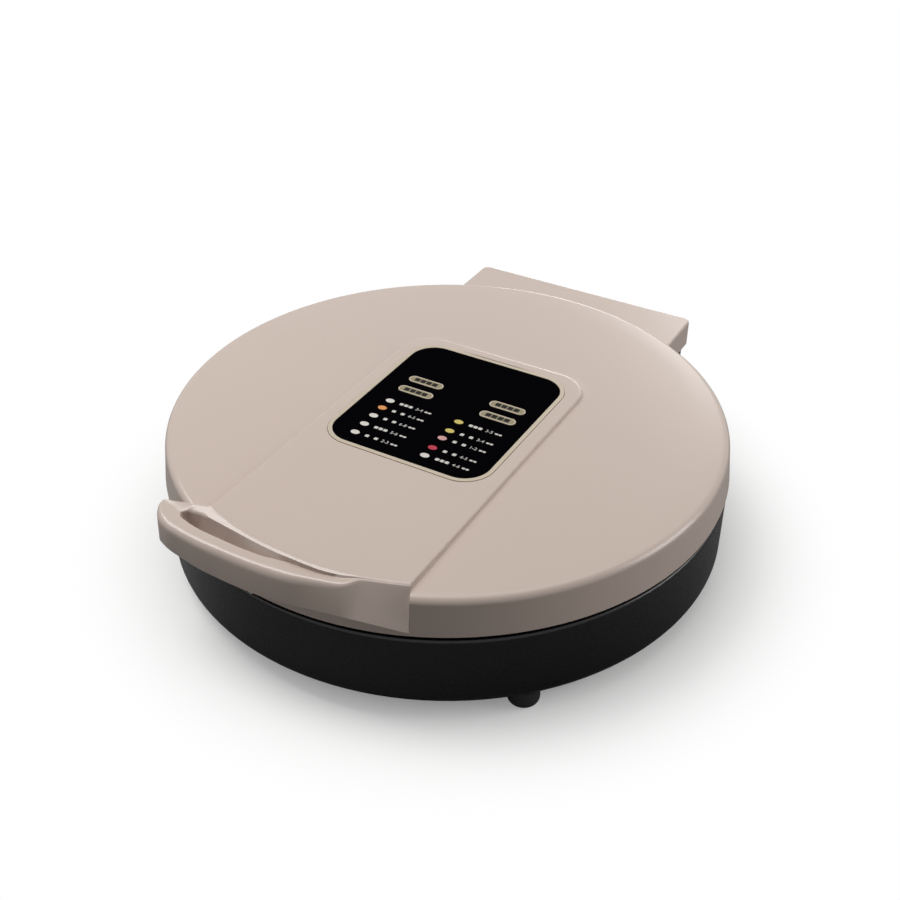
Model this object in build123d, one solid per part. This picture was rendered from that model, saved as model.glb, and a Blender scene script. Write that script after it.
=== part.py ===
"""Electric double griddle: a round base and a lid that each hold a heated plate.

The axes are +X to the right, +Y to the hinge at the back and +Z up. All sizes
are in millimetres. The pieces are drawn about the axis of the plates, with the
table at zero height, and moved together at the end so that the origin lies
under the middle of the whole part.
"""

from build123d import *
import math
import os

# Lid
lid_radius = 175.0
lid_flare = 2.6
lid_height = 23.5
lid_edge_radius = 4.8
lid_crown = 1.4
lid_wall = 2.6
lid_gap = 0.5
lid_skirt = 0.9

# Raised band on the lid, from the panel to the handle
band_half_width = 66.0
band_back = 74.0
band_front_inset = 8.5
band_back_corner = 22.0
band_rise = 3.3
band_root = 5.0
band_edge_radius = 1.6

# Handle: angles run from the front towards +X, reaches are shares of the lid's radius
handle_angles = [-32.0, -29.0, -25.0, -19.0, -12.0, -5.0, 1.0, 7.0, 12.0, 17.0]
handle_top_shares = [1.074, 1.100, 1.107, 1.083, 1.052, 1.031, 1.017, 0.999, 0.985, 0.957, 0.9555]
handle_foot_shares = [1.074, 1.103, 1.110, 1.089, 1.066, 1.048, 1.036, 1.029, 1.028, 1.028, 1.027]
handle_root_share = 0.914
handle_height = 18.0
handle_foot_lifts = [0.0, 0.0, 0.0, 0.0, 0.0, 0.0, 0.1, 1.3, 1.6, 0.5, -3.0]
handle_top_lifts = [0.0, 0.0, 0.0, 0.0, 0.0, 0.0, 0.2, 0.7, 1.8, 3.1, 3.2]
wing_inner_share = 0.937
wing_inner_angle = -23.7
wing_tip_share = 1.052
wing_tip_angle = -30.7
handle_cover_thickness = 2.0
handle_cover_gap = 0.3
handle_cover_fit = 0.1
handle_cover_end_angle = -1.0
handle_screw_angles = [-26.0, -16.0, -6.0]
handle_screw_share = 1.036
handle_screw_radius = 1.2
handle_screw_head_radius = 2.0
handle_screw_head = 0.8
handle_screw_bite = 5.0

# Finger recess behind the handle's bar
recess_angles = [-24.5, -18.0, -10.6, -4.4, 1.7]
recess_back_shares = [0.992, 0.950, 0.931, 0.926, 0.928]
recess_front_shares = [1.030, 1.013, 0.993, 0.975, 0.963]
recess_left_angle = -26.2
recess_left_share = 1.034
recess_right_angle = 7.8
recess_right_share = 0.960
recess_depth = 11.0
recess_wall = 2.6
recess_front_grow_share = 3.0

# Control panel, its bezel and keys
panel_half_width = 54.0
panel_back = 63.0
panel_front = -61.0
panel_corner = 17.0
panel_thickness = 2.5
panel_fit = 0.1
bezel_width = 2.8
bezel_proud = 0.3
panel_window_margin = 8.0
key_length = 24.8
key_width = 6.9
key_proud = 0.4
key_travel = 0.5
key_fit = 0.15
key_flange_width = 1.0
key_flange_thickness = 0.7
key_pocket_depth = 1.1
key_left_x = -27.5
key_right_x = 31.8
key_back_y = 19.8
key_front_y = 6.7

# Control board under the panel
board_half_width = 40.0
board_back = 36.0
board_front = -32.0
board_thickness = 1.6
board_drop = 1.8
switch_size = 4.0
switch_gap = 0.3
board_boss_radius = 3.0
board_boss_inset = 5.0
board_screw_radius = 1.0
board_screw_head_radius = 2.0
board_screw_head = 0.9

# Base
foot_height = 11.8
base_height = 48.5
base_setback = 0.6
base_edge_radius = 6.6
base_rim_radius = 2.2
base_wall = 2.6
neck_height = 3.5
neck_step = 2.5
neck_wall = 2.4
ledge_width = 9.5
ledge_thickness = 2.5
ledge_drop = 1.0

# Feet
foot_front_angle = 45.0
foot_front_inset = 11.5
foot_rear_x = 68.0
foot_rear_inset = 19.0
foot_boss_radius = 5.0
foot_boss_height = 4.0
foot_radius = 9.5
foot_seat_depth = 1.2
foot_round = 4.0
foot_screw_radius = 1.75
foot_screw_head_radius = 3.6
foot_screw_head = 1.6
foot_screw_recess = 2.4

# Plates
plate_clearance = 0.5
plate_rim_width = 21.6
cook_depth = 15.0
plate_floor = 3.5
plate_flange = 3.5
plate_slope = 5.0
upper_cook_depth = 5.0
upper_flange = 3.0
upper_inset = 1.5
plate_round = 3.0
plate_screw_share = 0.961
plate_screw_radius = 1.75
plate_screw_head_radius = 3.2
plate_screw_head = 1.8
plate_screw_bite = 2.4
plate_screw_count = 4

# Heaters, clips and reflectors
heater_inset = 45.0
heater_tube_radius = 3.5
heater_angle = 320.0
heater_seat = 0.25
heater_pin_radius = 1.5
heater_pin_length = 9.0
clip_wall = 1.2
clip_width = 12.0
clip_foot = 8.0
clip_count = 3
reflector_inset = 0.5
reflector_thickness = 0.8
reflector_lip = 9.0
post_share = 0.78
post_radius = 5.0
post_count = 4
lower_reflector_height = 16.0
upper_reflector_gap = 9.0
upper_lip = 4.0
reflector_screw_radius = 1.5
reflector_screw_head_radius = 3.0
reflector_screw_head = 1.2
reflector_screw_bite = 5.0

# Thermostats and fuses
thermostat_x = 34.0
thermostat_radius = 8.0
thermostat_height = 6.5
fuse_x = -34.0
fuse_radius = 2.2
fuse_length = 18.0

# Rear block of the base, which carries the hinge and the inlet
block_half_width = 81.3
block_reach = 26.0
block_top_rise = 0.5
block_corner = 4.0

# Hinge
hinge_reach = 17.0
hinge_lift = 29.0
float_travel = 6.0
rod_radius = 3.0
rod_fit = 0.05
arm_x = 50.0
arm_thickness = 3.0
arm_end_radius = 6.0
arm_width = 7.5
arm_overlap = 3.0
arm_play = 0.5
bracket_wall = 2.0
bracket_depth = 12.0
bracket_margin = 2.0
bracket_plate_half = 8.0
bracket_plate_reach = 24.0
bracket_screw_reach = 18.0
bracket_screw_spacing = 9.0
bracket_screw_radius = 1.75
bracket_screw_head_radius = 3.2
bracket_screw_head = 1.6
clip_radius = 5.0
clip_thickness = 0.8
clip_gap = 0.3
slot_clearance = 1.2
lid_open_angle = 105.0
arm_boss_width = 11.0
arm_boss_reach = 9.0
arm_screw_radius = 1.5
arm_screw_head_radius = 2.8
arm_screw_head = 1.5
arm_screw_bite = 7.0

# Hinge cover
cover_half_width = 84.0
cover_overhang = 3.0
cover_top_drop = 8.0
cover_bottom_gap = 1.0
cover_wall = 2.0
cover_clearance = 1.0
cover_corner = 5.0
cover_edge_radius = 1.5
cover_pad = 3.0
cover_screw_side_share = 0.75
cover_screw_back_share = 0.33
cover_screw_radius = 1.3
cover_screw_head_radius = 2.4
cover_screw_head = 1.2
cover_screw_bite = 3.5

# Power inlet in the side of the rear block
inlet_inset = 22.0
inlet_lift = 18.0
inlet_width = 27.0
inlet_height = 20.0
inlet_depth = 19.0
inlet_socket_width = 23.0
inlet_socket_height = 16.0
inlet_socket_depth = 15.0
inlet_flange = 1.2
inlet_flange_border = 2.4
inlet_fit = 0.1
pin_width = 2.0
pin_height = 4.0
pin_spacing = 7.0
pin_rise = 2.0
pin_length = 13.0
pin_tail = 6.0

# Terminal block and leads
terminal_reach = 13.0
terminal_width = 40.0
terminal_depth = 16.0
terminal_height = 11.0
terminal_wire_share = 0.33
lead_radius = 2.2
lead_set = 8.0
lead_hole_length = 38.0
lead_gap = 0.4
lead_fit = 0.1
lead_bend = 4.0
lead_rise = 4.5
lead_inner_gap = 0.4
wire_radius = 0.9
wire_spacing = 1.1
wire_gap = 1.2
wire_bend = 2.5
wire_hole_radius = 3.0

cut_over = 1.0
edge_test = 0.01

# Heights above the table
base_bottom = foot_height
base_top = base_bottom + base_height
neck_top = base_top + neck_height
lid_bottom = neck_top + lid_gap
lid_rim = lid_bottom + lid_height
band_top = lid_rim + band_rise
base_floor_top = base_bottom + base_wall
ledge_top = base_top - ledge_drop
ledge_bottom = ledge_top - ledge_thickness

# Radii
lid_foot_radius = lid_radius + lid_flare
base_radius = lid_foot_radius - base_setback
neck_radius = base_radius - neck_step
plate_well_radius = neck_radius - neck_wall
flange_radius = plate_well_radius - plate_clearance
ledge_inner = neck_radius - ledge_width
cook_radius = flange_radius - plate_rim_width
heater_radius = cook_radius - heater_inset
reflector_radius = cook_radius - reflector_inset
band_front_radius = lid_radius - band_front_inset
band_end_angle = math.degrees(math.asin(band_half_width / band_front_radius))

# Plate heights
flange_top = ledge_top + plate_flange
cook_floor = flange_top - cook_depth
lower_plate_under = cook_floor - plate_floor
upper_flange_bottom = lid_bottom + upper_inset
upper_flange_top = upper_flange_bottom + upper_flange
upper_cook_floor = upper_flange_bottom + upper_cook_depth
upper_plate_over = upper_cook_floor + plate_floor
lower_reflector_z = base_floor_top + lower_reflector_height
upper_reflector_z = upper_plate_over + upper_reflector_gap

# Places behind the lid
hinge_y = lid_radius + hinge_reach
block_back = lid_radius + block_reach
cover_back = block_back + cover_overhang
arm_front = lid_radius - arm_overlap
arm_boss_back = lid_radius + arm_boss_reach
bracket_plate_front = hinge_y - bracket_plate_reach
bracket_screw_front = hinge_y - bracket_screw_reach
bracket_screw_rows = (bracket_screw_front, bracket_screw_front + bracket_screw_spacing)
cover_screw_y = arm_boss_back - arm_boss_width * cover_screw_back_share
lead_y = hinge_y - lead_set
inlet_y = block_back - inlet_inset
terminal_y = heater_radius + terminal_reach
wire_x = terminal_width * terminal_wire_share

# Rear block and hinge heights
block_top = base_top + block_top_rise
block_ceiling = block_top - base_wall
hinge_z = base_bottom + hinge_lift
cover_top = lid_rim - cover_top_drop
cover_bottom = block_top + cover_bottom_gap
cover_ceiling = cover_top - cover_wall
arm_top = cover_ceiling - arm_play
arm_bottom = arm_top - arm_width
slot_half = arm_thickness / 2 + slot_clearance
lean = math.radians(lid_open_angle) - math.pi / 2
slot_foot = hinge_z - (block_back - hinge_y) * math.tan(lean) - arm_end_radius / math.cos(lean) - slot_clearance
arm_inner = arm_x - arm_thickness / 2
arm_outer = arm_x + arm_thickness / 2
arm_boss_top = cover_ceiling - cover_pad
rod_half = arm_outer + arm_play + bracket_wall + 2 * clip_gap + clip_thickness

# Panel heights
panel_bottom = band_top - panel_thickness
board_top = panel_bottom - board_drop
board_bottom = board_top - board_thickness
key_bottom = panel_bottom - key_flange_thickness / 2
key_top = band_top + key_proud

key_places = {
    "key_back_left": (key_left_x, key_back_y),
    "key_front_left": (key_left_x, key_front_y),
    "key_back_right": (key_right_x, key_back_y),
    "key_front_right": (key_right_x, key_front_y),
}
foot_front_x = (base_radius - foot_front_inset) * math.sin(math.radians(foot_front_angle))
foot_front_y = (base_radius - foot_front_inset) * math.cos(math.radians(foot_front_angle))
foot_rear_y = block_back - foot_rear_inset
foot_places = {
    "foot_front_left": (-foot_front_x, -foot_front_y),
    "foot_front_right": (foot_front_x, -foot_front_y),
    "foot_rear_left": (-foot_rear_x, foot_rear_y),
    "foot_rear_right": (foot_rear_x, foot_rear_y),
}
sides = {"left": -1, "right": 1}

LOW = (Align.CENTER, Align.CENTER, Align.MIN)


def turned(points):
    """Solid turned about the plates' axis from a closed outline of radius and height."""
    outline = Polyline(*[(radius, 0, height) for radius, height in points], close=True)
    return revolve(make_face(outline), Axis.Z)


def disc(radius, bottom, top, x=0, y=0):
    """Upright cylinder between two heights."""
    return Pos(x, y, bottom) * Cylinder(radius, top - bottom, align=LOW)


def block(x0, x1, y0, y1, z0, z1):
    """Box between two corners."""
    middle = ((x0 + x1) / 2, (y0 + y1) / 2, (z0 + z1) / 2)
    return Pos(*middle) * Box(x1 - x0, y1 - y0, z1 - z0)


def around(count, radius, turn_share=0.5):
    """Places evenly spaced round the plates' axis, the first turned by a share of the step."""
    step = math.tau / count
    return [
        (radius * math.cos(step * (i + turn_share)), radius * math.sin(step * (i + turn_share)))
        for i in range(count)
    ]


def polar(angle, radius):
    """Point at an angle in degrees from the front towards +X."""
    turn = math.radians(angle)
    return (radius * math.sin(turn), -radius * math.cos(turn))


def pill(length, width, bottom, top, x, y):
    """Upright bar with round ends."""
    return Pos(x, y, bottom) * extrude(SlotOverall(length, width), top - bottom)


def panel_shape(margin, bottom, top):
    """Panel outline grown by a margin, between two heights."""
    width = 2 * (panel_half_width + margin)
    depth = panel_back - panel_front + 2 * margin
    face = RectangleRounded(width, depth, panel_corner + margin)
    return Pos(0, (panel_back + panel_front) / 2, bottom) * extrude(face, top - bottom)


def screw(radius, head_radius, head, length, x, y, z, up=True):
    """Pan-head screw whose head seats at a height, with its shank pointing up or down."""
    if up:
        return disc(radius, z, z + length, x, y) + disc(head_radius, z - head, z, x, y)
    return disc(radius, z - length, z, x, y) + disc(head_radius, z, z + head, x, y)


def side_rod(radius, x0, x1, y, z):
    """Round bar along X."""
    return Pos((x0 + x1) / 2, y, z) * Rot(0, 90, 0) * Cylinder(radius, x1 - x0)


def tube(points, radius, bend):
    """Round bar along straight runs joined by tangent arcs."""
    path = FilletPolyline(*points, radius=bend)
    return sweep(Plane(origin=path @ 0, z_dir=path % 0) * Circle(radius), path=path)


def bar_between(start, end, radius):
    """Round bar between two points."""
    line = Line(start, end)
    return extrude(Plane(origin=line @ 0, z_dir=line % 0) * Circle(radius), line.length)


def lid_dome(inset):
    """Solid of the lid's outer form, or of its hollow when an inset is given."""
    radius = lid_radius - inset
    rim = lid_rim - inset
    foot = lid_foot_radius - inset
    bottom = lid_bottom - lid_skirt - (cut_over if inset else 0)
    ball = (radius**2 + lid_crown**2) / (2 * lid_crown)
    middle = rim + lid_crown - ball + math.sqrt(ball**2 - radius**2 / 4)
    crown = ThreePointArc((0, 0, rim + lid_crown), (radius / 2, 0, middle), (radius, 0, rim))
    side = Line((radius, 0, rim), (foot, 0, bottom))
    floor = Line((foot, 0, bottom), (0, 0, bottom))
    axis = Line((0, 0, bottom), (0, 0, rim + lid_crown))
    solid = revolve(make_face([crown, side, floor, axis]), Axis.Z)
    circles = solid.edges().filter_by(GeomType.CIRCLE)
    rim_edges = [e for e in circles if abs(e.center().Z - rim) < lid_wall and e.radius > radius / 2]
    return fillet(rim_edges, lid_edge_radius - inset)


def band():
    """Raised band from behind the panel to the front of the lid."""
    length = band_back + band_front_radius
    face = Rectangle(2 * band_half_width, length, align=(Align.CENTER, Align.MAX))
    face = Pos(0, band_back) * face
    corners = face.vertices().group_by(Axis.Y)[-1]
    face = fillet(corners, band_back_corner) & Circle(band_front_radius)
    solid = Pos(0, 0, lid_rim - band_root) * extrude(face, band_rise + band_root)
    return fillet(solid.edges().group_by(Axis.Z)[-1], band_edge_radius)


def handle_block():
    """Handle lofted through upright slices, with its left wing cut straight."""
    slices = []
    angles = [*handle_angles, band_end_angle]
    rows = zip(angles, handle_top_shares, handle_foot_shares, handle_top_lifts, handle_foot_lifts)
    for angle, top_share, foot_share, top_lift, foot_lift in rows:
        top = lid_rim + top_lift
        foot = lid_rim - handle_height + foot_lift
        corners = [
            (handle_root_share * lid_radius, foot),
            (foot_share * lid_radius, foot),
            (top_share * lid_radius, top),
            (handle_root_share * lid_radius, top),
        ]
        points = [(*polar(angle, radius), height) for radius, height in corners]
        slices.append(make_face(Polyline(*points, close=True)).face())
    solid = loft(slices, ruled=True)
    inner = Vector(*polar(wing_inner_angle, wing_inner_share * lid_radius))
    tip = Vector(*polar(wing_tip_angle, wing_tip_share * lid_radius))
    run = (inner - tip).normalized()
    plane = Plane(origin=(tip.X, tip.Y, lid_rim), x_dir=(run.X, run.Y, 0), z_dir=(0, 0, 1))
    waste = plane * Box(2 * lid_radius, lid_radius, lid_radius, align=(Align.CENTER, Align.MIN, Align.CENTER))
    return solid - waste


def recess_region(grow, bottom, top):
    """Finger recess between two heights, grown all round by a wall."""
    end_turn = math.degrees(grow / lid_radius)
    left = polar(recess_left_angle - end_turn, recess_left_share * lid_radius)
    right = polar(recess_right_angle + end_turn, recess_right_share * lid_radius)
    back = [polar(a, s * lid_radius - grow) for a, s in zip(recess_angles, recess_back_shares)]
    front_grow = grow * recess_front_grow_share
    front = [polar(a, s * lid_radius + front_grow) for a, s in zip(recess_angles, recess_front_shares)]
    face = make_face([Spline(left, *back, right), Spline(left, *front, right)])
    return Pos(0, 0, bottom) * extrude(face, top - bottom)


def under_handle(gap):
    """Space outside the lid's wall under the handle's bar, drawn in by a gap."""
    top = lid_rim - handle_height + handle_cover_thickness
    end = polar(handle_cover_end_angle, lid_radius)[0]
    slab = block(-2 * lid_radius, end - gap, -2 * lid_radius, 0, 0, top)
    return slab - disc(lid_foot_radius + handle_cover_gap + gap, 0, lid_rim)


def arm_boss(side, bottom, top):
    """Block behind the lid's wall, beside a hinge arm, between two heights."""
    edges = sorted((side * arm_outer, side * (arm_outer + arm_boss_width)))
    solid = block(*edges, arm_front - arm_boss_width, arm_boss_back, bottom, top)
    return solid - disc(lid_foot_radius - lid_wall, 0, lid_rim)


def arm_screw_place():
    """Place along Y and the height of the screw that holds each arm to its boss."""
    return ((arm_front + arm_boss_back) / 2, (arm_bottom + arm_boss_top) / 2)


def cover_screw_x():
    """Distance of the hinge cover's screws from the middle."""
    return arm_outer + arm_boss_width * cover_screw_side_share


def handle_screw_places():
    """Places of the screws under the handle."""
    return [polar(angle, handle_screw_share * lid_radius) for angle in handle_screw_angles]


def lid_shell():
    """Lid moulding with its band, handle, panel seat, plate ledge and hinge bosses."""
    pocket_bottom = lid_rim - recess_depth
    hollow = lid_dome(lid_wall) - recess_region(recess_wall, pocket_bottom - recess_wall, band_top)
    ledge = disc(lid_foot_radius, upper_flange_top, upper_flange_top + ledge_thickness)
    ledge -= disc(ledge_inner, 0, band_top)
    notch = wire_spacing + wire_radius + heater_seat
    ledge -= block(-notch, notch, 0, lid_foot_radius, upper_flange_top, band_top)
    solid = lid_dome(0) + band() + (handle_block() - under_handle(0))
    solid -= hollow - ledge
    solid -= recess_region(0, pocket_bottom, band_top + cut_over)
    solid -= panel_shape(bezel_width, panel_bottom, band_top + cut_over)
    solid -= panel_shape(-panel_window_margin, lid_bottom, band_top)
    screw_y, screw_z = arm_screw_place()
    for side in sides.values():
        solid += arm_boss(side, arm_bottom, arm_boss_top)
    for side in sides.values():
        ends = sorted((side * arm_outer, side * (arm_outer + arm_screw_bite)))
        solid -= side_rod(arm_screw_radius, *ends, screw_y, screw_z)
        solid -= disc(cover_screw_radius, arm_bottom, arm_boss_top, side * cover_screw_x(), cover_screw_y)
    for x, y in around(plate_screw_count, plate_screw_share * flange_radius):
        solid -= disc(plate_screw_radius, upper_flange_top, upper_flange_top + ledge_thickness, x, y)
    for x, y in handle_screw_places():
        top = lid_rim - handle_height + handle_cover_thickness
        solid -= disc(handle_screw_radius, top, top + handle_screw_bite, x, y)
    lead_z = cover_ceiling - lead_rise
    solid -= Pos(0, lid_radius, lead_z) * Rot(90, 0, 0) * Cylinder(lead_radius + lead_fit, lead_hole_length)
    return solid


def handle_cover():
    """Thin cover that closes the underside of the handle's bar."""
    solid = handle_block() & under_handle(handle_cover_fit)
    for x, y in handle_screw_places():
        solid -= disc(handle_screw_radius, 0, lid_rim, x, y)
    return solid


def handle_screws():
    """Screws that hold the cover under the handle."""
    foot = lid_rim - handle_height
    length = handle_cover_thickness + handle_screw_bite
    return [
        screw(handle_screw_radius, handle_screw_head_radius, handle_screw_head, length, x, y, foot)
        for x, y in handle_screw_places()
    ]


def control_panel():
    """Flat panel with keyholes, key pockets and the board's bosses."""
    solid = panel_shape(-panel_fit, panel_bottom, band_top)
    for x, y in board_corners():
        solid += disc(board_boss_radius, board_top, panel_bottom, x, y)
        solid -= disc(board_screw_radius, board_top, panel_bottom + panel_thickness / 2, x, y)
    for x, y in key_places.values():
        margin = 2 * (key_flange_width + key_fit)
        pocket_top = panel_bottom + key_pocket_depth
        hole_top = band_top + cut_over
        solid -= pill(key_length + 2 * key_fit, key_width + 2 * key_fit, panel_bottom, hole_top, x, y)
        solid -= pill(key_length + margin, key_width + margin, panel_bottom, pocket_top, x, y)
    return solid


def panel_bezel():
    """Thin ring round the panel."""
    return panel_shape(bezel_width - panel_fit, panel_bottom, band_top + bezel_proud) - panel_shape(
        0, panel_bottom, band_top + cut_over
    )


def key(x, y):
    """Pill-shaped key with the flange that holds it under the panel."""
    cap = pill(key_length, key_width, key_bottom, key_top, x, y)
    margin = 2 * key_flange_width
    rim = key_bottom + key_flange_thickness
    flange = pill(key_length + margin, key_width + margin, key_bottom, rim, x, y)
    return cap + flange


def board_corners():
    """Places of the control board's screws."""
    x = board_half_width - board_boss_inset
    rows = (board_front + board_boss_inset, board_back - board_boss_inset)
    return [(side * x, y) for side in sides.values() for y in rows]


def control_board():
    """Circuit board hung under the panel."""
    solid = block(-board_half_width, board_half_width, board_front, board_back, board_bottom, board_top)
    for x, y in board_corners():
        solid -= disc(board_screw_radius, board_bottom, board_top, x, y)
    return solid


def key_switches():
    """Small switch on the board under each key."""
    half = switch_size / 2
    top = key_bottom - key_travel - switch_gap
    return [block(x - half, x + half, y - half, y + half, board_top, top) for x, y in key_places.values()]


def board_screws():
    """Screws that hold the board to the panel's bosses."""
    length = board_thickness + board_drop + panel_thickness / 2
    return [
        screw(board_screw_radius, board_screw_head_radius, board_screw_head, length, x, y, board_bottom)
        for x, y in board_corners()
    ]


def base_shell():
    """Base moulding with its neck, plate ledge, feet bosses and hollow rear block."""
    drum = disc(base_radius, base_bottom, base_top)
    drum = fillet(drum.edges().sort_by(Axis.Z)[0], base_edge_radius)
    drum = fillet(drum.edges().sort_by(Axis.Z)[-1], base_rim_radius)
    rear = block(-block_half_width, block_half_width, 0, block_back, base_bottom, block_top)
    rear_edges = rear.edges().filter_by(Axis.Z).group_by(Axis.Y)[-1]
    rear = fillet(rear_edges, block_corner)
    solid = drum + disc(neck_radius, base_top - neck_height, neck_top) + rear
    inner = block_half_width - base_wall
    solid -= block(-inner, inner, 0, block_back - base_wall, base_floor_top, block_ceiling)
    solid -= disc(base_radius - base_wall, base_floor_top, ledge_bottom)
    solid -= disc(ledge_inner, base_floor_top, neck_top + cut_over)
    solid -= disc(plate_well_radius, ledge_top, neck_top + cut_over)
    for side in sides.values():
        x0, x1 = sorted((side * (arm_x - slot_half), side * (arm_x + slot_half)))
        slot_front = hinge_y - arm_end_radius - slot_clearance
        slot_back = block_back + cut_over
        solid -= block(x0, x1, slot_front, slot_back, block_ceiling, neck_top)
        solid -= block(x0, x1, block_back - base_wall - cut_over, slot_back, slot_foot, neck_top)
        for y in bracket_screw_rows:
            solid -= disc(bracket_screw_radius, base_bottom, base_floor_top, side * arm_x, y)
    for x, y in foot_places.values():
        solid += disc(foot_boss_radius, base_floor_top, base_floor_top + foot_boss_height, x, y)
        solid -= disc(foot_radius, base_bottom, base_bottom + foot_seat_depth, x, y)
        solid -= disc(foot_screw_radius, base_bottom, base_floor_top + foot_boss_height - base_wall / 2, x, y)
    for x, y in around(post_count, post_share * reflector_radius):
        solid += disc(post_radius, base_floor_top, lower_reflector_z, x, y)
        solid -= disc(reflector_screw_radius, lower_reflector_z - reflector_screw_bite, lower_reflector_z, x, y)
    for x, y in around(plate_screw_count, plate_screw_share * flange_radius):
        solid -= disc(plate_screw_radius, ledge_bottom, ledge_top, x, y)
    solid -= disc(lead_radius + lead_fit, block_ceiling, block_top, 0, lead_y)
    swing_half = lead_radius + slot_clearance
    solid -= block(-swing_half, swing_half, hinge_y + rod_radius, block_back + cut_over, block_ceiling, neck_top)
    solid -= inlet_box(inlet_fit, block_half_width - base_wall * 2, block_half_width + cut_over)
    return solid


def foot():
    """Rubber foot with a recess for its screw's head."""
    solid = disc(foot_radius, 0, foot_height + foot_seat_depth)
    solid = fillet(solid.edges().sort_by(Axis.Z)[0], foot_round)
    solid -= disc(foot_screw_head_radius, 0, foot_screw_recess + foot_screw_head)
    return solid - disc(foot_screw_radius, 0, foot_height + foot_seat_depth)


def foot_screws():
    """Screws that hold the feet."""
    seat = foot_screw_recess + foot_screw_head
    length = base_floor_top + foot_boss_height - base_wall / 2 - seat
    return [
        screw(foot_screw_radius, foot_screw_head_radius, foot_screw_head, length, x, y, seat)
        for x, y in foot_places.values()
    ]


def lower_plate():
    """Dished lower plate with its flange on the base's ledge."""
    solid = turned([
        (0, cook_floor),
        (cook_radius, cook_floor),
        (cook_radius + plate_slope, flange_top),
        (flange_radius, flange_top),
        (flange_radius, ledge_top),
        (cook_radius + plate_slope + plate_floor, ledge_top),
        (cook_radius + plate_floor, lower_plate_under),
        (0, lower_plate_under),
    ])
    corner = [e for e in solid.edges().filter_by(GeomType.CIRCLE) if abs(e.center().Z - cook_floor) < edge_test]
    solid = fillet(corner, plate_round)
    for x, y in around(plate_screw_count, plate_screw_share * flange_radius):
        solid -= disc(plate_screw_radius, ledge_top, ledge_top + plate_screw_bite, x, y)
    return solid


def upper_plate():
    """Dished upper plate, hung face down from the lid's ledge, with the reflector's posts."""
    solid = turned([
        (0, upper_cook_floor),
        (cook_radius, upper_cook_floor),
        (cook_radius + plate_slope, upper_flange_bottom),
        (flange_radius, upper_flange_bottom),
        (flange_radius, upper_flange_top),
        (cook_radius + plate_slope + plate_floor, upper_flange_top),
        (cook_radius + plate_floor, upper_plate_over),
        (0, upper_plate_over),
    ])
    corner = [
        e for e in solid.edges().filter_by(GeomType.CIRCLE) if abs(e.center().Z - upper_cook_floor) < edge_test
    ]
    solid = fillet(corner, plate_round)
    for x, y in around(plate_screw_count, plate_screw_share * flange_radius):
        solid -= disc(plate_screw_radius, upper_flange_top - plate_screw_bite, upper_flange_top, x, y)
    for x, y in around(post_count, post_share * reflector_radius):
        solid += disc(post_radius, upper_plate_over, upper_reflector_z, x, y)
        solid -= disc(reflector_screw_radius, upper_reflector_z - reflector_screw_bite, upper_reflector_z, x, y)
    return solid


def plate_screws(upper):
    """Screws that hold a plate's flange to its ledge."""
    length = ledge_thickness + plate_screw_bite
    height = upper_flange_top + ledge_thickness if upper else ledge_bottom
    return [
        screw(plate_screw_radius, plate_screw_head_radius, plate_screw_head, length, x, y, height, not upper)
        for x, y in around(plate_screw_count, plate_screw_share * flange_radius)
    ]


def heater_height(upper):
    """Height of a heater's middle."""
    if upper:
        return upper_plate_over + heater_seat + heater_tube_radius
    return lower_plate_under - heater_seat - heater_tube_radius


def pin_line(side, upper, reach):
    """End of the heater on one side and a point a reach past it, along the pin."""
    turn = math.pi / 2 + side * (math.pi - math.radians(heater_angle) / 2)
    z = heater_height(upper)
    end = Vector(heater_radius * math.cos(turn), heater_radius * math.sin(turn), z)
    along = Vector(side * math.sin(turn), -side * math.cos(turn), 0)
    return end, end + along * reach


def heater(upper):
    """Sheathed heater bent to an open ring, with a terminal pin at each end."""
    z = heater_height(upper)
    start = math.degrees(3 * math.pi / 2) - heater_angle / 2
    circle = Plane(origin=(heater_radius, 0, z), z_dir=(0, 1, 0)) * Circle(heater_tube_radius)
    ring = Rot(0, 0, start) * revolve(circle, Axis.Z, heater_angle)
    for side in sides.values():
        ring += bar_between(*pin_line(side, upper, heater_pin_length), heater_pin_radius)
    return ring


def heater_clips(upper):
    """Bent straps that hold a heater to the back of its plate."""
    z = heater_height(upper)
    reach = heater_tube_radius + heater_seat
    face = upper_plate_over if upper else lower_plate_under
    far = z + reach + clip_wall if upper else z - reach - clip_wall
    bottom, top = sorted((face, far))
    outer = reach + clip_wall
    clips = []
    for i in range(clip_count):
        solid = block(heater_radius - outer, heater_radius + outer, -clip_width / 2, clip_width / 2, bottom, top)
        inner = sorted((face, far - clip_wall if upper else far + clip_wall))
        solid -= block(heater_radius - reach, heater_radius + reach, -clip_width, clip_width, *inner)
        plate = sorted((face, face + clip_wall if upper else face - clip_wall))
        for x0, x1 in ((-outer - clip_foot, -outer), (outer, outer + clip_foot)):
            solid += block(heater_radius + x0, heater_radius + x1, -clip_width / 2, clip_width / 2, *plate)
        turn = math.degrees((i - 1) * math.tau / clip_count - math.pi / 2)
        clips.append(Rot(0, 0, turn) * solid)
    return clips


def reflector(upper):
    """Thin dish that throws the heat back to its plate."""
    z = upper_reflector_z if upper else lower_reflector_z
    outer = reflector_radius + reflector_thickness
    solid = disc(outer, z, z + reflector_thickness)
    lip = disc(outer, z - upper_lip, z) if upper else disc(outer, z, z + reflector_lip)
    lip -= disc(reflector_radius, 0, band_top)
    solid += lip
    for x, y in around(post_count, post_share * reflector_radius):
        solid -= disc(reflector_screw_radius, 0, band_top, x, y)
    if not upper:
        for side in sides.values():
            solid -= disc(wire_hole_radius, 0, band_top, side * wire_x, terminal_y)
    return solid


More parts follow.
